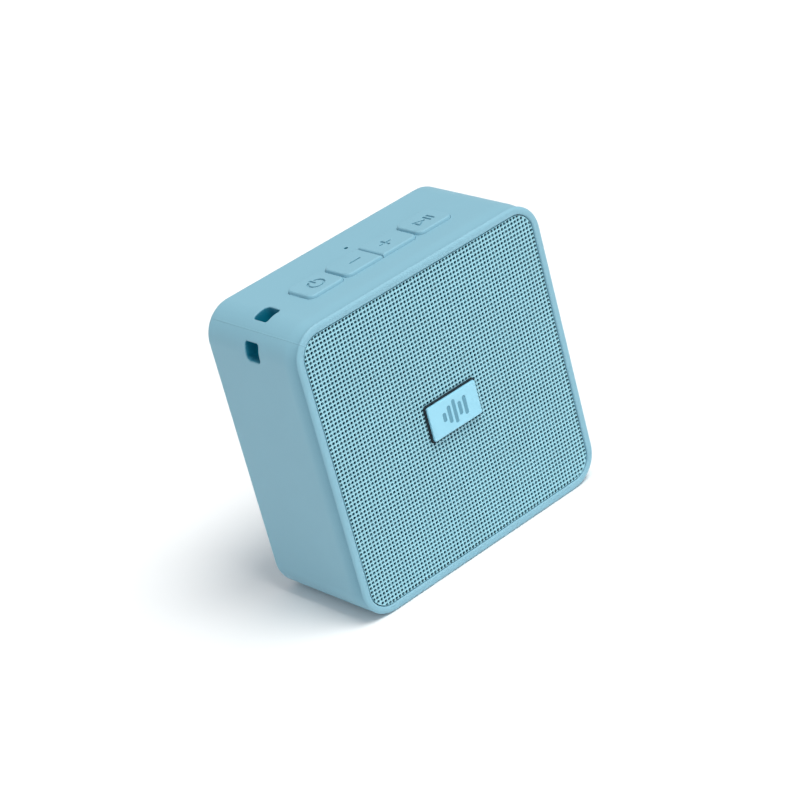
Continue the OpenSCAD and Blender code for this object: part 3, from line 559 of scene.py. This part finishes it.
MATERIALS = {
    "skin_rubber": make_skin(),
    "key_rubber": make_key_rubber(),
    "grille_paint": make_grille_paint(),
    "badge_paint": moulded("badge_paint", BADGE_BLUE, rough=0.34, tone=0.02, patch_mm=7.0, grain_mm=0.3,
                           grain=0.005, Coat_Weight=0.3, Coat_Roughness=0.25).material,
    "badge_mark": moulded("badge_mark", MARK_BLUE, rough=0.4, tone=0.03, patch_mm=3.0, grain_mm=0.2,
                          grain=0.008).material,
    "bright_steel": metal("bright_steel", srgb(196, 198, 200)).material,
    "nickel_strip": metal("nickel_strip", srgb(190, 188, 180), 0.25, (30, 1, 1)).material,
    "brass_metal": metal("brass_metal", srgb(214, 176, 96), 0.22).material,
    "magnet_ferrite": moulded("magnet_ferrite", srgb(70, 70, 74), rough=0.62, tone=0.12, grain_mm=0.3,
                              grain=0.03).material,
    "driver_steel": moulded("driver_steel", srgb(52, 54, 57), rough=0.38, tone=0.06, grain_mm=0.4,
                            grain=0.012).material,
    "black_cloth": make_weave("black_cloth", srgb(0, 66, 88), 0.32, shine=0.05),
    # dark foam; behind the badge its dark teal rim is a painted shadow around the badge
    "black_foam": moulded("black_foam", srgb(10, 32, 42), rough=0.9, tone=0.25, patch_mm=0.7, grain_mm=0.45,
                          grain=0.09).material,
    "white_plastic": moulded("white_plastic", srgb(226, 226, 220), rough=0.4).material,
    "circuit_board": make_circuit_board(),
    "black_plastic": moulded("black_plastic", srgb(34, 35, 37), rough=0.42, tone=0.08).material,
    "tub_plastic": moulded("tub_plastic", srgb(50, 54, 57), rough=0.5, tone=0.05, grain_mm=0.3,
                           grain=0.02).material,
    "flex_film": moulded("flex_film", srgb(182, 116, 44), rough=0.25, tone=0.06, patch_mm=1.2).material,
    "surround_rubber": moulded("surround_rubber", srgb(24, 25, 27), rough=0.46, tone=0.06).material,
    "paper_pulp": make_paper(),
    "copper_wire": make_winding(),
    "spider_cloth": make_spider_cloth(),
    "phenolic": moulded("phenolic", srgb(128, 82, 40), rough=0.48, tone=0.15, patch_mm=2.0).material,
    "wire_sleeve": moulded("wire_sleeve", srgb(150, 34, 32), rough=0.34, tone=0.05).material,
    "capacitor_can": metal("capacitor_can", srgb(150, 156, 162), 0.3, (1, 20, 1)).material,
    "connector_nylon": moulded("connector_nylon", srgb(226, 220, 202), rough=0.45).material,
    "cell_wrap": moulded("cell_wrap", srgb(44, 104, 158), rough=0.28, tone=0.03, patch_mm=12.0,
                         grain_mm=1.5, grain=0.02, Coat_Weight=0.4, Coat_Roughness=0.15).material,
}


# ---------- skin ----------

KEY_BOXES = {name: box_mm(name) for name in KEYS}
PAIR_EDGE = KEY_BOXES["volume_up_key"][1][0]
PAIR_GAP = KEY_BOXES["volume_up_key"][0][0]


def pair_outline(x, y):
    """Seen from above, the distance to the outline around both volume keys."""
    return round_rect(x, y - KEY_MID_Y, PAIR_EDGE, KEY_HALF_L, KEY_CORNER)


def key_outline(name, x, y):
    """Seen from above, the distance to a key's outline at its base."""
    low, high = KEY_BOXES[name]
    if name.startswith("volume"):
        side = 1 if name == "volume_up_key" else -1
        return np.maximum(pair_outline(x, y), PAIR_GAP - side * x)
    middle, half_w = (low[0] + high[0]) / 2, (high[0] - low[0]) / 2
    return round_rect(x - middle, y - KEY_MID_Y, half_w, KEY_HALF_L, KEY_CORNER)


def tunnel_field(x, y, z):
    """The lanyard tunnel: an open bend behind the bar at the corner."""
    across, down = x + HALF, TOP - z
    floor = round_max(across - TUNNEL, down - TUNNEL, TUNNEL_BEND)
    passage = round_max(floor, np.abs(y - TUNNEL_Y) - TUNNEL_HALF_W, TUNNEL_CORNER)
    bar = round_max(across - BAR, down - BAR, BAR_R)
    return round_max(passage, -bar, BAR_EDGE)


def cover_outline(y, z, grow):
    """Side view of the port cover, grown on every side: rounded at its free end."""
    middle = (COVER_TOP + HINGE_Z) / 2
    half_h = (COVER_TOP - HINGE_Z) / 2
    upper = round_rect(y - COVER_Y, z - middle, COVER_HALF_W + grow, half_h + grow, KEY_CORNER + grow)
    foot = round_rect(y - COVER_Y, z - (HINGE_Z + FOOT_HALF_H), COVER_HALF_W + grow,
                      FOOT_HALF_H + grow, 0.25)
    return np.minimum(upper, foot)


def skin_field(x, y, z):
    """The one-piece skin: sides, back, flared rim, and every opening through it."""
    upright = ease((z - UPRIGHT_FROM) / UPRIGHT_RAMP)
    sideways = HOLLOW_ABOVE + (1 - HOLLOW_ABOVE) * ease((TOP - z - UPRIGHT_FROM) / UPRIGHT_RAMP)
    behind = y - FRONT - BEAD
    hollow = HOLLOW * ease(behind / HOLLOW_FRONT) * (1 - ease((behind - HOLLOW_FRONT) / HOLLOW_BACK))
    inset = (hollow * sideways + INSET * ease(behind / HOLLOW_FRONT)) * upright
    side = round_rect(x, z - MIDDLE, HALF, HALF, CORNER) + inset
    shape = round_max(side, FRONT - y, RIM_OUTER_FILLET)
    shape = round_max(shape, y - BACK, BACK_FILLET)
    opening = round_rect(x, z - MIDDLE, OPEN_HALF, OPEN_HALF, OPEN_CORNER)
    shape = round_max(shape, -np.maximum(opening, y - BAFFLE_Y), RIM_INNER_FILLET)
    inner = HALF - SKIN_T
    cavity = round_rect(x, z - MIDDLE, inner, inner, CORNER - SKIN_T)
    cavity = np.maximum(cavity, np.maximum(BAFFLE_Y - y, y - BACK + SKIN_T))
    wall = TUNNEL + BLOCK_T
    block = round_max(x + HALF - wall, TOP - z - wall, TUNNEL_BEND + BLOCK_T)
    block = np.maximum(block, np.abs(y - TUNNEL_Y) - TUNNEL_HALF_W - BLOCK_T)
    shape = np.maximum(shape, -np.maximum(cavity, -block))
    shape = round_max(shape, -tunnel_field(x, y, z), TUNNEL_EDGE)
    # key slots and the pocket under their lip
    above = TOP - SLOT_DEPTH - z
    slots = np.minimum(key_outline("power_key", x, y), key_outline("play_key", x, y))
    slots = np.maximum(np.minimum(slots, pair_outline(x, y)) - SLOT_GAP, above)
    shape = round_max(shape, -slots, SLOT_EDGE)
    pocket_half_w = KEY_HALF_L + KEY_FLANGE + POCKET_GAP
    pocket = np.maximum(np.abs(x) - POCKET_HALF_L, np.abs(y - KEY_MID_Y) - pocket_half_w)
    pocket = np.maximum(pocket, np.maximum(above, z - (TOP - LIP_T)))
    shape = np.maximum(shape, -pocket)
    # microphone hole
    pinhole = np.maximum(np.hypot(x, y - MIC_Y) - MIC_R, above)
    shape = round_max(shape, -pinhole, MIC_EDGE)
    # window of the port cover, with a thumb hollow above it
    window = np.maximum(cover_outline(y, z, COVER_GAP), HALF - WINDOW_DEPTH - x)
    sweep = np.maximum(np.abs(y - COVER_Y) - COVER_HALF_W - COVER_GAP, np.abs(z - HINGE_Z) - SWEEP)
    window = np.minimum(window, np.maximum(sweep, HALF - WINDOW_DEPTH - x))
    shape = round_max(shape, -window, WINDOW_EDGE)
    deep, wide, high = THUMB_HOLLOW
    thumb = ((x - SIDE - THUMB_OUT) / deep) ** 2
    thumb = thumb + ((y - COVER_Y) / wide) ** 2 + ((z - COVER_TOP) / high) ** 2
    return round_max(shape, -(np.sqrt(thumb) - 1) * deep, THUMB_EDGE)


def make_outer_skin():
    """Meshes the skin, finer where its openings and edges are."""
    window_front, window_back = COVER_Y - COVER_HALF_W, COVER_Y + COVER_HALF_W
    slot_front, slot_back = KEY_MID_Y - KEY_HALF_L, KEY_MID_Y + KEY_HALF_L
    key_edges = [edge for name in KEYS for edge in (KEY_BOXES[name][0][0], KEY_BOXES[name][1][0])]
    xs = grid_lines(-HALF - 0.7, HALF + 0.7, 1.4,
                    (-HALF - 0.7, 13 - HALF, 0.3), (HALF - 13, HALF - 4, 0.4), (HALF - 4, HALF + 0.7, 0.22),
                    (-1.0, 1.0, 0.11), *[(edge - 1.2, edge + 1.2, 0.2) for edge in key_edges])
    ys = grid_lines(FRONT - 0.6, BACK + 0.6, 1.2,
                    (FRONT - 0.6, BAFFLE_Y + 0.6, 0.16), (slot_front - 1.6, slot_front + 2.4, 0.2),
                    (slot_front + 2.4, slot_back - 2.4, 0.3), (slot_back - 2.4, slot_back + 1.6, 0.2),
                    (MIC_Y - 0.9, MIC_Y + 0.9, 0.11), (window_front - 0.8, window_front + 2.4, 0.24),
                    (window_back - 2.4, BACK - 2, 0.24), (BACK - 2, BACK + 0.6, 0.22))
    zs = grid_lines(-0.6, TOP + 0.6, 1.4,
                    (-0.6, 2.6, 0.24), (2.6, 12, 0.4), (HINGE_Z - 2.2, HINGE_Z + 1.2, 0.2),
                    (COVER_TOP - 2.8, COVER_TOP + 3, 0.24), (TOP - 12.5, TOP - 2.4, 0.3),
                    (TOP - 2.4, TOP + 0.6, 0.2))
    return field_piece("outer_skin", skin_field, (xs, ys, zs), MATERIALS["skin_rubber"],
                       ENCLOSURE, ("outer_sleeve",))


# ---------- keys ----------

def power_symbol(a, b):
    """A ring open at the top, with a bar through the gap."""
    ring_r, half_gap = 2.15, 0.85
    ring = np.abs(np.hypot(a, b) - ring_r)
    gap = np.minimum(half_gap - np.abs(a), b)
    return np.minimum(np.maximum(ring, gap + STROKE), stroke(a, b, 0, 0.5, 0, 2.6))


def minus_symbol(a, b):
    """One bar."""
    return stroke(a, b, -SIGN_HALF, 0, SIGN_HALF, 0)


def plus_symbol(a, b):
    """Two crossed bars."""
    return np.minimum(minus_symbol(a, b), stroke(a, b, 0, -SIGN_HALF, 0, SIGN_HALF))


def play_symbol(a, b):
    """A triangle and two bars."""
    left, tip, half_h = -2.2, 0.4, 1.5
    lines = [stroke(a, b, left, -half_h, left, half_h), stroke(a, b, left, half_h, tip, 0),
             stroke(a, b, tip, 0, left, -half_h)]
    lines += [stroke(a, b, bar, -half_h, bar, half_h) for bar in (1.5, 2.7)]
    return np.minimum.reduce(lines)


# each key's symbol, and how far it stands from the middle of the key
SYMBOLS = {"power_key": (power_symbol, 0.25), "volume_down_key": (minus_symbol, 0.9),
           "volume_up_key": (plus_symbol, -0.9), "play_key": (play_symbol, -0.25)}


def key_field(name):
    """Field of one key: a pad with leaning walls, an engraved symbol and a flange below the lip."""
    low, high = KEY_BOXES[name]
    symbol, shift = SYMBOLS[name]
    symbol_x = (low[0] + high[0]) / 2 + shift

    def field(x, y, z):
        """Distance to this key."""
        lean = KEY_LEAN * np.maximum(z - SKIN_TOP, 0)
        pad = round_max(key_outline(name, x, y) + lean, z - KEY_TOP, KEY_TOP_FILLET)
        groove = np.maximum(symbol(x - symbol_x, y - KEY_MID_Y) - STROKE, KEY_TOP - SYMBOL_DEPTH - z)
        pad = round_max(pad, -groove, SYMBOL_EDGE)
        flange = np.maximum(np.maximum(low[0] - x, x - high[0]), np.maximum(low[1] - y, y - high[1]))
        flange = np.maximum(flange, z - low[2] - KEY_FLANGE_T)
        return np.maximum(np.minimum(pad, flange), low[2] - z)
    return field


def make_key(name):
    """Meshes one key's pad and flange."""
    low, high = KEY_BOXES[name]
    xs = grid_lines(low[0] - MARGIN, high[0] + MARGIN, 0.15)
    ys = grid_lines(low[1] - MARGIN, high[1] + MARGIN, 0.15)
    zs = grid_lines(low[2] - MARGIN, KEY_TOP + MARGIN, 0.25, (SKIN_TOP - 0.1, KEY_TOP + MARGIN, 0.11))
    return field_piece(name + "_pad", key_field(name), (xs, ys, zs), MATERIALS["key_rubber"],
                       name, (name,))


# ---------- grille ----------

HOLES = 69
PITCH = 1.158
HOLE_R = 0.45
HOLE_EDGE = 0.05
SHEET_INSET = 0.06
HOLE_SIDES = 12
TAB_L = 2.8


def clamp_to_outline(points, half, corner):
    """Moves points that lie outside a rounded square onto its outline."""
    core = np.clip(points, corner - half, half - corner)
    away = points - core
    length = np.linalg.norm(away, axis=1, keepdims=True)
    return np.where(length > corner, core + away * corner / np.maximum(length, 1e-9), points)


def cell_ring():
    """Points around a unit cell's edge, one for each point around its hole."""
    side = np.linspace(-0.5, 0.5, HOLE_SIDES // 4 + 1)[:-1]
    edge = np.full(HOLE_SIDES // 4, 0.5)
    sides = [np.stack([side, -edge], 1), np.stack([edge, side], 1),
             np.stack([-side, edge], 1), np.stack([-edge, -side], 1)]
    return np.concatenate(sides)


def make_grille_sheet():
    """Perforated sheet: a square lattice of round holes, cut through at the edge."""
    half, corner = GRILLE_HALF - SHEET_INSET, GRILLE_CORNER - SHEET_INSET
    ring = cell_ring()
    angle = np.arctan2(ring[:, 1], ring[:, 0])
    circle = np.stack([np.cos(angle), np.sin(angle)], 1)
    front, back = GRILLE_Y, GRILLE_Y + GRILLE_T
    index, points, faces = {}, [], []

    def loop(flat, depth):
        """Vertex numbers of a closed line of points at one depth, shared where they repeat."""
        numbers = []
        for x, z in flat:
            key = (round(x, 4), round(z, 4), depth)
            if key not in index:
                index[key] = len(points)
                points.append((x, depth, z + MIDDLE))
            numbers.append(index[key])
        return numbers

    def band(outer, inner):
        """Faces between two loops, or from a loop to a single middle point."""
        for k in range(HOLE_SIDES):
            ahead = (k + 1) % HOLE_SIDES
            face = list(dict.fromkeys([outer[k], outer[ahead], inner[ahead], inner[k]]))
            if len(face) > 2:
                faces.append(face)

    for row in range(HOLES):
        for column in range(HOLES):
            centre = (np.array([column, row]) + 0.5 - HOLES / 2) * PITCH
            square = centre + ring * PITCH
            edge = clamp_to_outline(square, half, corner)
            if (edge != square).any(1).all():
                continue
            outer_front, outer_back = loop(edge, front), loop(edge, back)
            if np.array_equal(clamp_to_outline(centre[None], half + 0.1, corner), centre[None]):
                lip_edge = clamp_to_outline(centre + circle * (HOLE_R + HOLE_EDGE), half, corner)
                hole_edge = clamp_to_outline(centre + circle * HOLE_R, half, corner)
                lip = loop(lip_edge, front)
                wall = loop(hole_edge, front + HOLE_EDGE)
                far = loop(hole_edge, back)
                band(outer_front, lip)
                band(lip, wall)
                band(wall, far)
                band(far, outer_back)
            else:
                middle = np.tile(edge.mean(0), (HOLE_SIDES, 1))
                band(outer_front, loop(middle, front))
                band(loop(middle, back), outer_back)
    sheet = mesh_object("grille_sheet", points, faces, smooth=False)
    return finish_piece(sheet, MATERIALS["grille_paint"], ENCLOSURE, ("front_grille",))


def outline_points(half, corner, steps=16):
    """Points around a rounded square, anticlockwise."""
    points = []
    for quarter in range(4):
        centre = np.array([1, 1]) * (half - corner)
        turn = quarter * math.pi / 2
        spin = np.array([[math.cos(turn), -math.sin(turn)], [math.sin(turn), math.cos(turn)]])
        for k in range(steps + 1):
            a = k / steps * math.pi / 2
            points.append(spin @ (centre + corner * np.array([math.cos(a), math.sin(a)])))
    return np.array(points)


def make_grille_flange():
    """The sheet's bent edge: a band with a rounded shoulder that runs back to the baffle."""
    end = grille_high[1] - TAB_L
    section = [(SHEET_INSET * (1 - math.sin(a)), GRILLE_Y + SHEET_INSET * (1 - math.cos(a)))
               for a in np.linspace(0, math.pi / 2, 6)]
    section += [(0, end), (SHEET_INSET, end)]
    loops = []
    for inset, depth in section:
        flat = outline_points(GRILLE_HALF - inset, GRILLE_CORNER - inset)
        loops.append(np.stack([flat[:, 0], np.full(len(flat), depth), flat[:, 1] + MIDDLE], 1))
    count = len(loops[0])
    faces = []
    for i in range(len(loops)):
        for k in range(count):
            a, b = i * count + k, i * count + (k + 1) % count
            c, d = ((i + 1) % len(loops)) * count + (k + 1) % count, ((i + 1) % len(loops)) * count + k
            faces.append([a, d, c, b])
    flange = mesh_object("grille_flange", np.concatenate(loops), faces)
    flange.data.set_sharp_from_angle(angle=math.radians(40))
    return finish_piece(flange, MATERIALS["grille_paint"], ENCLOSURE)


# ---------- badge ----------

BADGE_T = 0.75
BADGE_CORNER = 0.5
BADGE_EDGE = 0.28
# where each bar stands, and its half height
MARK_BARS = ((-3.7, 0.8), (-1.85, 2.0), (0.0, 2.9), (1.85, 1.4), (3.7, 2.2))
MARK_R = 0.56
MARK_EDGE = 4.6
MARK_DEPTH = 0.22
INLAY_GAP = 0.03
INLAY_FACE = 0.1
INLAY_BACK = 0.3
MARK_SOFT = 0.06
INLAY_SOFT = 0.05


def bars(x, z):
    """Five upright level bars, a generic audio mark."""
    distance = np.full(np.shape(x), 1e3)
    for at, height in MARK_BARS:
        distance = np.minimum(distance, stroke(x, z - MIDDLE, at, -height, at, height) - MARK_R)
    return distance


def badge_field(x, y, z):
    """Badge plate with soft edges and the mark sunk into its face."""
    half_w, half_h = badge_high[0], (badge_high[2] - badge_low[2]) / 2
    plate = round_rect(x, z - MIDDLE, half_w, half_h, BADGE_CORNER)
    face = badge_low[1]
    plate = round_max(plate, face - y, BADGE_EDGE)
    plate = np.maximum(plate, y - face - BADGE_T)
    mark = np.maximum(bars(x, z), y - face - MARK_DEPTH)
    return round_max(plate, -mark, MARK_SOFT)


def make_badge():
    """The badge plate, and the darker inlay of its mark."""
    face = badge_low[1]
    xs = grid_lines(badge_low[0] - MARGIN, badge_high[0] + MARGIN, 0.3,
                    (badge_low[0] - MARGIN, badge_low[0] + 0.6, 0.1), (-MARK_EDGE, MARK_EDGE, 0.11),
                    (badge_high[0] - 0.6, badge_high[0] + MARGIN, 0.1))
    ys = grid_lines(face - 0.2, face + BADGE_T + 0.2, 0.09)
    zs = grid_lines(badge_low[2] - MARGIN, badge_high[2] + MARGIN, 0.13)
    field_piece("badge_plate", badge_field, (xs, ys, zs), MATERIALS["badge_paint"],
                ENCLOSURE, ("badge",))

    def mark_field(x, y, z):
        """Distance to the inlay, which lies a little below the face."""
        inlay = round_max(bars(x, z) + INLAY_GAP, face + INLAY_FACE - y, INLAY_SOFT)
        return np.maximum(inlay, y - face - INLAY_BACK)
    xs = grid_lines(-MARK_EDGE, MARK_EDGE, 0.11)
    ys = grid_lines(face, face + 0.42, 0.07)
    zs = grid_lines(MIDDLE - 3.8, MIDDLE + 3.8, 0.13)
    field_piece("badge_mark", mark_field, (xs, ys, zs), MATERIALS["badge_mark"], ENCLOSURE)


# ---------- port cover ----------

COVER_EDGE = 0.3
COVER_RELIEF = 0.12
BEAD_EDGE = 0.1
RIB_DOWN = 1.5
RIB_HALF_L = 2.6
RIB_R = 0.36
RIB_SUNK = 0.05
RIB_FILLET = 0.15
CREASE_UP = 1.6
CREASE_R = 0.32
CREASE_EDGE = 0.1


def cover_field(x, y, z):
    """Soft cover, flush with the side: round hinge edge, a pull rib and two short pins."""
    inner = COVER_X - COVER_T / 2 + COVER_RELIEF
    plate = round_max(cover_outline(y, z, 0), x - SIDE, COVER_EDGE)
    plate = np.maximum(plate, inner - x)
    plate = np.maximum(plate, HINGE_Z - z)
    bead = np.hypot(x - COVER_X, z - HINGE_Z)
    roll = round_max(bead - (SIDE - COVER_X), np.abs(y - COVER_Y) - COVER_HALF_W, BEAD_EDGE)
    pins = np.maximum(bead - HINGE_PIN_R, np.abs(y - COVER_Y) - COVER_HALF_W - HINGE_PIN_L)
    along = stroke(y - COVER_Y, z - COVER_TOP + RIB_DOWN, -RIB_HALF_L, 0, RIB_HALF_L, 0)
    rib = np.hypot(x - SIDE + RIB_SUNK, along) - RIB_R
    shape = round_min(plate, rib, RIB_FILLET)
    # thin hinge line that lets the cover bend
    crease = np.hypot(x - SIDE, z - HINGE_Z - CREASE_UP) - CREASE_R
    shape = round_max(shape, -crease, CREASE_EDGE)
    return np.minimum(shape, np.minimum(roll, pins))


def make_cover():
    """Meshes the port cover, finer at its hinge and its edges."""
    xs = grid_lines(COVER_X - COVER_T / 2 - 0.2, HALF + MARGIN, 0.1)
    ys = grid_lines(cover_low[1] - MARGIN, cover_high[1] + MARGIN, 0.5,
                    (cover_low[1] - MARGIN, cover_low[1] + 3.4, 0.15), (COVER_Y - 3.2, COVER_Y + 3.2, 0.25),
                    (cover_high[1] - 3.4, cover_high[1] + MARGIN, 0.15))
    zs = grid_lines(HINGE_Z - 1.2, COVER_TOP + MARGIN, 0.8, (HINGE_Z - 1.2, HINGE_Z + 2.6, 0.13),
                    (COVER_TOP - 3.4, COVER_TOP + MARGIN, 0.15))
    return field_piece("port_cover_flap", cover_field, (xs, ys, zs), MATERIALS["skin_rubber"],
                       "port_cover", ("port_cover",))


# ---------- flexible parts of the driver ----------

magnet_low, magnet_high = box_mm("magnet")
DRIVER_Z = (magnet_low[2] + magnet_high[2]) / 2
SECTORS = 16
SECTOR_STEPS = 12
SURROUND_T = 0.4
SURROUND_GLUE_W = 2.2
CONE_GLUE_W = 1.2
SPIDER_T = 0.3
SPIDER_WAVE = 0.45
SPIDER_PITCH = 1.9
SPIDER_INSIDE_FLAT = 0.6
SPIDER_OUTSIDE_FLAT = 1.8
SPIDER_FADE = 0.8
SPIDER_IN_COIL = 0.45


def ring_sectors(node, slot, section):
    """A flexible ring between the frame and the cone, meshed in sectors around the driver's axis.

    section is a closed outline of (radius, y) points, swept round the axis by each sector.
    """
    count = len(section)
    for sector in range(SECTORS):
        points, faces = [], []
        span = 2 * math.pi / SECTORS
        for k in range(SECTOR_STEPS + 1):
            a = (sector + k / SECTOR_STEPS) * span
            points += [(r * math.cos(a), y, DRIVER_Z + r * math.sin(a)) for r, y in section]
        for k in range(SECTOR_STEPS):
            for i in range(count):
                j = (i + 1) % count
                faces.append([k * count + i, k * count + j, (k + 1) * count + j, (k + 1) * count + i])
        faces.append(list(range(count))[::-1])
        faces.append([SECTOR_STEPS * count + i for i in range(count)])
        piece = mesh_object(f"{node}_sector_{sector:02d}", points, faces)
        piece.data.set_sharp_from_angle(angle=math.radians(50))
        piece.data.materials.append(MATERIALS[slot])
        if sector == 0:
            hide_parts(node)
        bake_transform(piece)


def make_surround():
    """Half-roll rubber surround, glued to the frame outside and to the cone inside."""
    outer, seat, _ = box_mm("surround")[1]
    cone_edge = box_mm("cone")[1][0]
    roll_out, roll_in = outer - SURROUND_GLUE_W, cone_edge + 0.1
    middle, radius = (roll_out + roll_in) / 2, (roll_out - roll_in) / 2
    glue_end = cone_edge - CONE_GLUE_W
    half_t = SURROUND_T / 2
    arc = np.linspace(0, math.pi, 15)

    def roll(a, r):
        """Point of the half-roll at angle a."""
        return middle + r * math.cos(a), seat - half_t - r * math.sin(a)
    front = [roll(a, radius + half_t) for a in arc]
    back = [roll(a, radius - half_t) for a in arc[::-1]]
    section = [(outer, seat), (outer, seat - SURROUND_T), *front, (glue_end, seat - SURROUND_T),
               (glue_end, seat), *back]
    ring_sectors("surround", "surround_rubber", section)


def make_spider():
    """Corrugated spider between the frame's ledge and the voice coil."""
    low, high = box_mm("spider")
    coil_r = box_mm("voice_coil")[1][0]
    middle_y = (low[1] + high[1]) / 2
    inner, outer = coil_r - SPIDER_IN_COIL, high[0]
    radii = np.linspace(inner, outer, 57)
    inside = ease((radii - inner - SPIDER_INSIDE_FLAT) / SPIDER_FADE)
    outside = ease((outer - SPIDER_OUTSIDE_FLAT - radii) / SPIDER_FADE)
    ripple = np.sin((radii - inner) * 2 * math.pi / SPIDER_PITCH)
    wave = middle_y + SPIDER_WAVE * inside * outside * ripple
    section = [(r, y - SPIDER_T / 2) for r, y in zip(radii, wave)]
    section += [(r, y + SPIDER_T / 2) for r, y in zip(radii[::-1], wave[::-1])]
    ring_sectors("spider", "spider_cloth", section)


# ---------- carried-over CAD nodes ----------

def dress_nodes():
    """Gives every CAD node that still shows the material of its slot."""
    slots = {part["node"]: part["material_slot"] for part in frame["record"]["subparts"]}
    for name, node in frame["nodes"].items():
        node.data.materials.clear()
        node.data.materials.append(MATERIALS[slots[name]])


# ---------- stage ----------

CAMERA_AZIMUTH, CAMERA_ELEVATION, CAMERA_ROLL = -34.73, 26.10, -15.15
CAMERA_DISTANCE = 0.7543
CAMERA_AIM = (-1.5, 0.7, 41.8)
CAMERA_LENS = 128.1


def direction(azimuth, elevation):
    """Unit vector from the object towards a place seen at this azimuth and elevation."""
    a, e = math.radians(azimuth), math.radians(elevation)
    return Vector((math.sin(a) * math.cos(e), -math.cos(a) * math.cos(e), math.sin(e)))


def make_camera():
    """The camera at the photograph's angle, rolled as it was."""
    data = bpy.data.cameras.new("camera")
    data.lens = CAMERA_LENS
    data.clip_start, data.clip_end = 0.01, 20
    camera = new_object("camera", data)
    back = direction(CAMERA_AZIMUTH, CAMERA_ELEVATION)
    turn = back.to_track_quat("Z", "Y").to_matrix().to_4x4()
    roll = Matrix.Rotation(math.radians(CAMERA_ROLL), 4, "Z")
    place = Matrix.Translation(Vector(CAMERA_AIM) * MM + back * CAMERA_DISTANCE)
    camera.matrix_world = place @ turn @ roll
    bpy.context.scene.camera = camera


def softbox(name, azimuth, elevation, distance, size, power):
    """A square area light that faces the object."""
    data = bpy.data.lights.new(name, "AREA")
    data.size = size
    data.energy = power
    lamp = new_object(name, data)
    towards = direction(azimuth, elevation)
    lamp.location = towards * distance + Vector((0, 0, MIDDLE * MM))
    lamp.rotation_euler = towards.to_track_quat("Z", "Y").to_euler()


def make_sky():
    """White surroundings, brighter towards the front."""
    world = bpy.data.worlds.new("studio")
    world.use_nodes = True
    tree = world.node_tree
    sky = tree.nodes["Background"]
    sky.inputs["Color"].default_value = (0.95, 1.0, 1.05, 1)
    place = tree.nodes.new("ShaderNodeTexCoord")
    split = tree.nodes.new("ShaderNodeSeparateXYZ")
    fade = tree.nodes.new("ShaderNodeMapRange")
    for socket, value in (("From Min", -0.6), ("From Max", 0.6), ("To Min", 0.64), ("To Max", 0.44)):
        fade.inputs[socket].default_value = value
    tree.links.new(place.outputs["Generated"], split.inputs["Vector"])
    tree.links.new(split.outputs["Y"], fade.inputs["Value"])
    tree.links.new(fade.outputs["Result"], sky.inputs["Strength"])
    bpy.context.scene.world = world
    bpy.context.scene.view_settings.view_transform = "Standard"


def make_lights():
    """A wide soft light from above, and a weak one from the front right."""
    data = bpy.data.lights.new("top_light", "SUN")
    data.energy = 2.25
    data.color = (1.0, 0.985, 0.95)
    data.angle = math.radians(30)
    sun = new_object("top_light", data)
    sun.rotation_euler = direction(20, 66).to_track_quat("Z", "Y").to_euler()
    softbox("front_light", azimuth=45, elevation=22, distance=1.0, size=0.4, power=0.5)


def make_floor():
    """White paper floor."""
    bpy.ops.mesh.primitive_plane_add(size=6)
    floor = bpy.context.object
    floor.name = "floor"
    paper = Surface("floor_paper", Roughness=0.9)
    paper.colour(paper.tones(paper.noise(40), (0.93, 0.93, 0.93, 1), (0.95, 0.95, 0.95, 1)))
    floor.data.materials.append(paper.material)


make_camera()
dress_nodes()
make_outer_skin()
for key_name in KEYS:
    make_key(key_name)
make_grille_sheet()
make_grille_flange()
make_badge()
make_cover()
make_surround()
make_spider()
make_sky()
make_lights()
make_floor()
